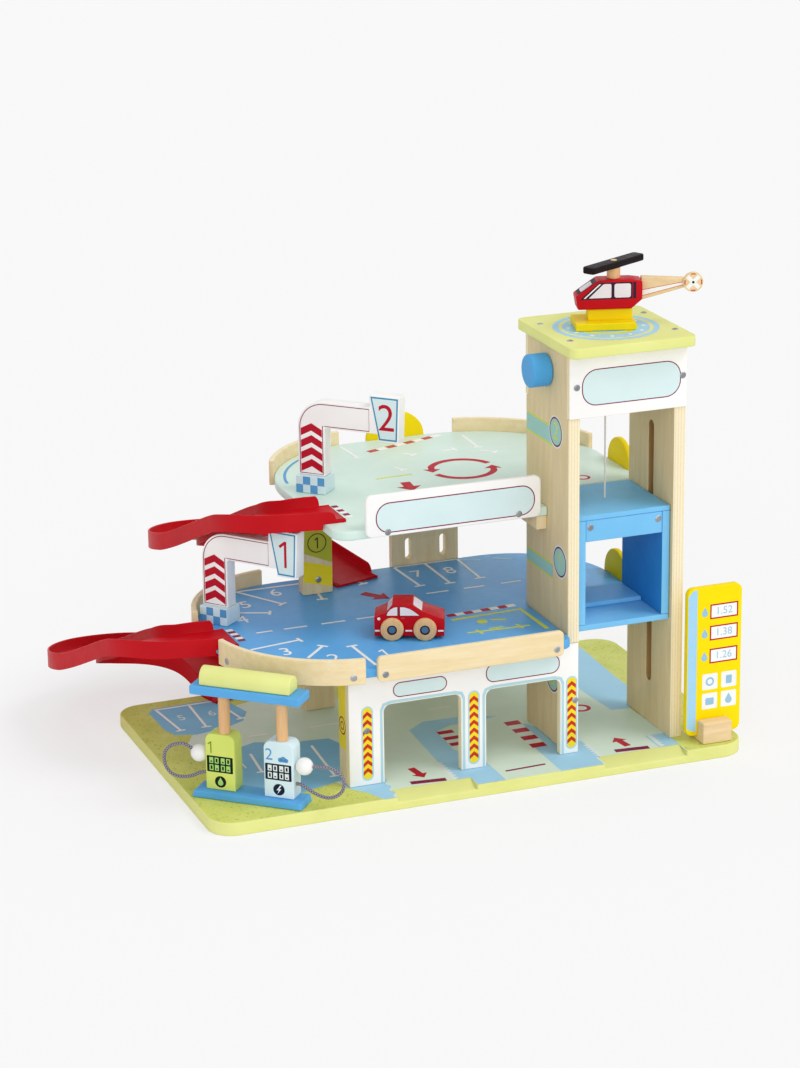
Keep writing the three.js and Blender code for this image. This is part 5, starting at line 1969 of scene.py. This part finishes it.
@dataclass(frozen=True)
class ToyCar(Group):
    """The red toy car."""

    stand: Standing = Standing(-70.4, -86.5, 149.3, -23.1)
    wheel_radius: float = 12.1
    wheel_width: float = 6.2
    base: float = 34.5
    side: float = 6.5
    far_wheel: float = 39.8
    wheel_edge: float = 1.2
    rounding: float = 0.0011

    def build(self) -> None:
        """Dresses the body, turns the wheels and lays windows and lamps."""
        self.shop.dressed("car_body", [RED], self.rounding, 4, 20.0)
        for name, x in (("car_rear_wheels", 0.0), ("car_front_wheels", self.base)):
            self.wheels(name, x)
        ink = self.stand.front_print("car_print", 0, self.side, 0)
        rear = [(-5.6, 26.0), (-4.6, 29.4), (-1.8, 32.6), (1.8, 34.8), (5.0, 35.4), (5.6, 35.4), (5.6, 26.0)]
        nose = [(8.4, 26.0), (8.4, 35.4), (13.0, 35.2), (18.5, 33.4), (24.0, 29.8), (28.6, 26.0)]
        for window in (rear, nose):
            middle = Vector((sum(p[0] for p in window), sum(p[1] for p in window))) / len(window)
            ink.fill([[(middle.x + (x - middle.x) * 1.13, middle.y + (z - middle.y) * 1.15) for x, z in window]],
                     INK_PLUM, 1)
            ink.fill([window], INK_GLASS, 2)
        for x0, x1 in ((-18.2, -13.2), (13.8, 21.0), (48.0, 53.8)):
            ink.rectangle(x0, 8.4, x1, 10.2, INK_WHITE, 1)
        ink.disc(-13.9, 22.6, 1.6, INK_WHITE, 1)
        ink.rectangle(9.6, 22.6, 13.2, 23.6, INK_ROSE, 1)
        self.shop.lay(ink, "red_paint", "car")
        self.screen("car_windscreen", (32.5, 6.5, 29.8), self.stand.back, (-11.4, 8.2), 14.0)
        self.screen("car_rear_screen", (-6.3, 39.5, 29.2), -self.stand.back, (7.1, 8.8), 11.3)

    def screen(self, name: str, corner: tuple[float, float, float], right: Vector,
               slope: tuple[float, float], height: float) -> None:
        """Lays a window on a slope of the body.

        Args:
            name: the piece's name.
            corner: the slope's low corner in the car's own frame.
            right: unit direction along the slope's low edge.
            slope: how far the slope goes along and up.
            height: length of the slope.
        """
        up = (self.stand.right * slope[0] + UP * slope[1]).normalized()
        ink = Print(name, self.stand.at(*corner), right, up)
        ink.rectangle(2.6, 1.6, 30.4, height - 1.4, INK_GLASS, 1, 1.6)
        self.shop.lay(ink, "red_paint", "car")

    def wheels(self, name: str, x: float) -> None:
        """Turns one pair of wheels with its axle.

        Args:
            name: the node's name.
            x: place of the axle.
        """
        r, w, far, soft = self.wheel_radius, self.wheel_width, self.far_wheel, self.wheel_edge
        near = [(0.0, 0.4, 1), (3.5, 0.4, 1), (3.8, 0.9, 2), (4.9, 0.9, 2), (5.3, 0.0, 0), (r - soft, 0.0, 0),
                (r - 0.35, 0.35, 0), (r, soft, 0), (r, w - soft, 0), (r - 0.35, w - 0.35, 0), (r - soft, w, 0),
                (3.0, w, 0)]
        mirrored = [(radius, far + w - along) for radius, along, _ in reversed(near[:-1])]
        start = self.stand.at(x, 0, r)
        self.shop.spun(name, near + [(3.0, far)] + mirrored, start, self.stand.back, [BEECH, INK_HUB, INK_PLUM], 56)


@dataclass(frozen=True)
class ToyHelicopter(Group):
    """The red toy helicopter on the roof."""

    stand: Standing = Standing(135.4, -93.1, 462.7, -16.0)
    side: float = 10.0
    middle: float = 21.5
    mast: float = 42.0
    boom_front: float = 20.5
    tail: tuple[float, float, float] = (125.0, 16.2, 44.8)

    def build(self) -> None:
        """Dresses body, skids, boom and rotors and lays windows."""
        for node, finish, bevel in (("helicopter_body", RED, ROUND), ("helicopter_boom", PALE_BEECH, 0.001),
                                    ("main_rotor", DARK, 0.0014)):
            self.shop.dressed(node, [finish], bevel, 4, 24.0)
        mast = [(0, 0), (6.6, 0), (7, 0.4), (7, 10.7), (6.6, 11.2), (0, 11.2)]
        self.shop.spun("rotor_mast", mast, self.stand.at(self.mast, self.middle, 51.3), UP, [BEECH])
        disc = [(0, 0), (10.1, 0), (10.5, 0.4), (10.5, 3.6), (10.1, 4.0), (0, 4.0)]
        self.shop.spun("tail_rotor", disc, self.stand.at(*self.tail), self.stand.back, [PALE_BEECH])
        self.skids()
        self.cap()
        self.prints()

    def prints(self) -> None:
        """Lays the windows on the side and the cross on the tail disc."""
        ink = self.stand.front_print("helicopter_print", 0, self.side, 0)
        ink.fill([[(5.3, 31.2), (25.6, 48.9), (64.2, 48.9), (64.2, 31.2)]], INK_PLUM, 1)
        ink.fill([[(9.2, 32.4), (11.2, 32.4), (27.6, 47.4), (25.6, 47.4)]], INK_WHITE, 2)
        ink.fill([[(14.6, 32.6), (29.6, 46.9), (31, 47.4), (37.2, 47.4), (38.2, 46.4), (38.2, 33.6), (37.2, 32.6)]],
                 INK_GLASS, 2)
        ink.rectangle(41.4, 32.6, 58.6, 47.4, INK_GLASS, 2, 2.2)
        ink.rectangle(60.2, 31.2, 61.0, 48.9, INK_RED, 2)
        self.shop.lay(ink, "red_paint", "helicopter")
        ink = self.stand.front_print("boom_print", 0, self.boom_front, 0)
        ink.fill([[(71.6, 31.2), (116, 41.6), (116, 44.6), (71.6, 37.4)]], INK_WHITE, 1)
        for low, high in ((31.2, 41.6), (37.4, 44.6)):
            ink.stroke([(71.6, low), (116, high)], 0.6, INK_ROSE, 2)
        self.shop.lay(ink, "beech", "helicopter")
        up = (self.stand.right * 23.8 + UP * 16.5).normalized()
        ink = Print("nose_window", self.stand.at(1, 33, 34.5), -self.stand.back, up)
        ink.rectangle(1.6, 3.2, 21.4, 26.6, INK_PLUM, 1, 2)
        ink.rectangle(4.2, 7.2, 18.8, 21.4, INK_GLASS, 2, 2)
        self.shop.lay(ink, "red_paint", "helicopter")
        ink = self.stand.front_print("tail_disc_print", *self.tail)
        for turn in (45, 135):
            c, s = cos(turn * DEGREE), sin(turn * DEGREE)
            ink.stroke([(-8.8 * c, -8.8 * s), (8.8 * c, 8.8 * s)], 4.2, INK_WHITE, 1 + turn // 90)
        for turn in (0, 90, 180, 270):
            ink.arc(0, 0, 8.8, turn - 16, turn + 16, 1.3, INK_ROSE, 1)
        ink.disc(0, 0, 1.4, INK_BLACK, 3)
        self.shop.lay(ink, "beech", "helicopter_tail_rotor")

    def skids(self) -> None:
        """Makes the runner board and its block with soft edges."""
        bm = bmesh.new()
        for (x0, y0, z0), (x1, y1, z1) in (((0, 0, 0), (63.5, 44, 8)), ((14.4, 14, 7.5), (61.1, 30, 20))):
            shape = bmesh.ops.create_cube(bm, size=1.0)
            for vert in shape["verts"]:
                share = vert.co + Vector((0.5, 0.5, 0.5))
                vert.co = self.stand.at(x0 + (x1 - x0) * share.x, y0 + (y1 - y0) * share.y, z0 + (z1 - z0) * share.z)
        obj = self.shop.softened("helicopter_skids_dressed", bm, 0.0013, 4)
        self.shop.paint(obj, [YELLOW])
        self.shop.hang(obj, "helicopter", "yellow_paint", ["helicopter_skids"])

    def cap(self) -> None:
        """Makes the dowel end that shows in the rotor."""
        spans = [(0, 0), (3.4, 0), (3.4, 0.35), (3.1, 0.6), (0, 0.6)]
        obj = self.shop.turned("rotor_dowel", spans, self.stand.at(self.mast, self.middle, 69.75), UP, [PALE_BEECH])
        self.shop.hang(obj, "helicopter_rotor", "beech")


@dataclass(frozen=True)
class Screws(Group):
    """The cross-head screws, placed on their faces by Geometry Nodes."""

    head: float = 3.6
    raised: float = 0.05
    twist: float = 0.7
    attributes: ClassVar[tuple] = (("facing", "FLOAT_VECTOR"), ("twist", "FLOAT"))

    def head_mesh(self) -> Piece:
        """One screw head of unit size with a cross cut into it.

        Returns:
            The head.
        """
        rings = [(0.0, 0.22), (0.35, 0.21), (0.7, 0.16), (0.92, 0.08), (1.0, 0.0), (0.98, -0.1), (0.0, -0.1)]
        head = self.shop.turned("screw_head", [(r, -z) for r, z in rings], Vector(), -UP, [ZINC], 32)
        cross = bmesh.new()
        for turn in (0, 90):
            shape = bmesh.ops.create_cube(cross, size=1.0)
            spot = turn_about_z(turn) @ Matrix.Translation((0, 0, 0.24 * MM))
            bmesh.ops.transform(cross, matrix=spot @ Matrix.Diagonal((1.2 * MM, 0.2 * MM, 0.36 * MM, 1)),
                                verts=shape["verts"])
        cutter = self.shop.meshed("screw_cross", cross)
        cut = head.modifiers.new("cross", "BOOLEAN")
        cut.object, cut.operation, cut.solver, cut.use_self = cutter, "DIFFERENCE", "EXACT", True
        self.shop.plain(head)
        bpy.data.objects.remove(cutter)
        return head

    def tree(self) -> NodeTree:
        """The node tree that puts a head on each point.

        Returns:
            The tree.
        """
        tree = bpy.data.node_groups.new("screws_on_points", "GeometryNodeTree")
        for label, kind in (("Geometry", "NodeSocketGeometry"), ("Head", "NodeSocketObject"),
                            ("Size", "NodeSocketFloat"), ("Metal", "NodeSocketMaterial")):
            tree.interface.new_socket(label, in_out="INPUT", socket_type=kind)
        tree.interface.new_socket("Geometry", in_out="OUTPUT", socket_type="NodeSocketGeometry")
        t = Tree(tree)
        start, end = t.node("NodeGroupInput"), t.node("NodeGroupOutput")
        facing, twist = (t.out("GeometryNodeInputNamedAttribute", {"Name": name}, data_type=kind)
                         for name, kind in self.attributes)
        turned = t.out("FunctionNodeAlignRotationToVector", {"Vector": facing}, axis="Z")
        spin = t.out("FunctionNodeAxisAngleToRotation", {"Axis": (0.0, 0.0, 1.0), "Angle": twist})
        rotation = t.out("FunctionNodeRotateRotation", {0: turned, 1: spin}, rotation_space="LOCAL")
        head = t.out("GeometryNodeObjectInfo", {"Object": start.outputs["Head"]}, "Geometry")
        points = t.out("GeometryNodeMeshToPoints", {"Mesh": start.outputs["Geometry"]})
        placed = t.out("GeometryNodeInstanceOnPoints", {"Points": points, "Instance": head, "Rotation": rotation,
                                                        "Scale": start.outputs["Size"]})
        real = t.out("GeometryNodeRealizeInstances", {0: placed})
        t.feed(end.inputs[0], t.out("GeometryNodeSetMaterial", {"Geometry": real, "Material": start.outputs["Metal"]}))
        return tree

    def build(self, rows: dict[str, list[tuple[Vector, Vector]]]) -> None:
        """Places the screws, one piece for each body.

        Args:
            rows: for each body, the places in millimetres and the directions the heads look.
        """
        head, tree = self.head_mesh(), self.tree()
        by_name = {item.name: item.identifier for item in tree.interface.items_tree if item.in_out == "INPUT"}
        for body, places in rows.items():
            mesh = bpy.data.meshes.new(f"{body}_screws")
            mesh.from_pydata([tuple((p + n * self.raised) * MM) for p, n in places], [], [])
            for name, kind in self.attributes:
                mesh.attributes.new(name, kind, "POINT")
            for i, (_, normal) in enumerate(places):
                mesh.attributes["facing"].data[i].vector = normal
                mesh.attributes["twist"].data[i].value = self.twist * i
            obj = self.shop.new(f"{body}_screws", mesh)
            row = obj.modifiers.new("screws", "NODES")
            row.node_group = tree
            row[by_name["Head"]] = head
            row[by_name["Size"]] = self.head
            row[by_name["Metal"]] = ZINC.material()
            self.shop.plain(obj)
            obj.data.set_sharp_from_angle(angle=35 * DEGREE)
            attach(obj, body)
            LOG.info("%s: %d screws", body, len(places))
        bpy.data.objects.remove(head)


def screw_rows() -> dict[str, list[tuple[Vector, Vector]]]:
    """Where the screws sit, and which way their heads look.

    Returns:
        Place and direction of each head, by the name of its row.
    """
    front = Vector((0, -1, 0))
    tower, name_board, panel = Tower.front_y, Decks.name_y, GroundHall.front_y
    rows = [(Vector(place), front) for place in ((115.1, tower, 417.1), (235.3, tower, 417.7),
                                                 (-75.3, name_board, 271.6), (71.5, name_board, 272.6),
                                                 (-119.2, panel, 75.0), (115.8, panel, 74.2))]
    rows += [(Vector((x, y, Tower.roof_z)), UP) for x in (115.5, 234.7) for y in (-46.0, -122.5)]
    rows += [(Vector(place), front) for place in ((-106.0, -161.3, 143.0), (85.0, -161.3, 143.0),
                                                  (-89.5, GroundHall.post_y, 165.5))]
    for angle in (196.0, 258.0):
        out = Vector((cos(angle * DEGREE), sin(angle * DEGREE), 0))
        rows.append((Vector((-111.0, -23.0, 143.0)) + out * 138.3, out))
    lift = [(Vector((x, -134.3, 262.0)), front) for x in (134.5, 212.5)]
    return {"garage": rows, "lift": lift}


@dataclass(frozen=True)
class Studio:
    """The floor, the lights and the camera."""

    azimuth: float = 0.3641
    elevation: float = 0.3141
    roll: float = 0.013
    place: tuple[float, float, float] = (-1.19785, -3.07224, 1.30384)
    lens: float = 109.355
    sky: float = 0.66
    key: float = 0.95
    fill: float = 0.68
    ground: float = 0.95
    ground_seen: float = 0.35
    glow: float = 0.6
    reach: float = 16.0

    def camera(self) -> None:
        """Sets the camera at the photograph's viewing angle."""
        az, el, roll = self.azimuth, self.elevation, self.roll
        forward = Vector((sin(az) * cos(el), cos(az) * cos(el), -sin(el)))
        level = Vector((cos(az), -sin(az), 0))
        down = forward.cross(level)
        right = level * cos(roll) + down * sin(roll)
        down = down * cos(roll) - level * sin(roll)
        data = bpy.data.cameras.new("camera")
        data.lens, data.sensor_width, data.sensor_fit = self.lens, 36.0, "AUTO"
        data.clip_start, data.clip_end = 0.1, 60.0
        camera = bpy.data.objects.new("camera", data)
        columns = (right, -down, -forward, self.place)
        camera.matrix_world = Matrix([[c[i] for c in columns] for i in range(3)] + [[0, 0, 0, 1]])
        bpy.context.scene.collection.objects.link(camera)
        bpy.context.scene.camera = camera

    def lights(self) -> None:
        """Sets a soft key light and a white surround."""
        for name, strength, spread, aim in (("key", self.key, 28.0, Vector((-0.7, 0.55, -1.2))),
                                            ("fill", self.fill, 50.0, Vector((0.35, 0.95, -0.42)))):
            data = bpy.data.lights.new(name, "SUN")
            data.energy, data.angle = strength, spread * DEGREE
            lamp = bpy.data.objects.new(name, data)
            lamp.rotation_euler = aim.to_track_quat("-Z", "Y").to_euler()
            bpy.context.scene.collection.objects.link(lamp)
        world = bpy.data.worlds.new("surround")
        bpy.context.scene.world = world
        world.use_nodes = True
        t = Tree(world.node_tree)
        background = world.node_tree.nodes["Background"]
        path = t.node("ShaderNodeLightPath")
        seen = t.maths("MAXIMUM", path.outputs["Is Camera Ray"], path.outputs["Is Transmission Ray"])
        seen = t.maths("MAXIMUM", seen, path.outputs["Is Glossy Ray"])
        t.feed(background.inputs["Color"], (1.0, 1.0, 1.0, 1.0))
        t.feed(background.inputs["Strength"], t.ranged(seen, 0.0, 1.0, self.sky, 1.0))

    def floor(self) -> None:
        """Lays the pale floor, which keeps the shadow."""
        mesh = bpy.data.meshes.new("studio_floor")
        corners = [(x * self.reach, y * self.reach, 0) for x, y in ((-1, -1), (1, -1), (1, 1), (-1, 1))]
        mesh.from_pydata(corners, [], [(0, 1, 2, 3)])
        floor = bpy.data.objects.new("studio_floor", mesh)
        bpy.context.scene.collection.objects.link(floor)
        material = bpy.data.materials.new("studio_floor")
        material.use_nodes = True
        shader = material.node_tree.nodes["Principled BSDF"]
        shader.inputs["Roughness"].default_value = 0.9
        shader.inputs["Specular IOR Level"].default_value = 0.0
        t = Tree(material.node_tree)
        seen = t.out("ShaderNodeLightPath", output="Is Camera Ray")
        greys = [(tone, tone, tone, 1.0) for tone in (self.ground, self.ground_seen)]
        t.feed(shader.inputs["Base Color"], t.mixed(seen, *greys))
        t.feed(shader.inputs["Emission Color"], (1.0, 1.0, 1.0, 1.0))
        t.feed(shader.inputs["Emission Strength"], t.maths("MULTIPLY", seen, self.glow))
        mesh.materials.append(material)

    def build(self) -> None:
        """Sets the view settings, the floor, the lights and the camera."""
        bpy.context.scene.view_settings.view_transform = "Standard"
        self.camera()
        self.lights()
        self.floor()


def main() -> None:
    """Builds the dressed garage round the frame."""
    logging.basicConfig(level=logging.INFO, format="%(message)s")
    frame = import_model()
    Studio().build()
    shop = Workshop(frame)
    island = PumpIsland(shop)
    island.hoses()
    ramps = (Ramp(shop, "upper_ramp", -117.75, -26.0, 151.6, 126.0, 78.0),
             Ramp(shop, "lower_ramp", -234.5, -14.3, 16.9, 134.7, 38.0))
    signs = (LevelSign(shop, 1, Standing(-237.1, 50.7, 149.3, -50.7)),
             LevelSign(shop, 2, Standing(-120, 67, 275.3, -44.9)))
    boards = [kind(shop) for kind in (BaseBoard, Tower, WindingGear, Lift, GroundHall, Decks)]
    for group in (*boards, *ramps, *signs, PriceSign(shop), island, ToyCar(shop), ToyHelicopter(shop)):
        group.build()
    Screws(shop).build(screw_rows())
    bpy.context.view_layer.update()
    LOG.info("%d pieces dressed", shop.count)


if __name__ == "__main__":
    main()
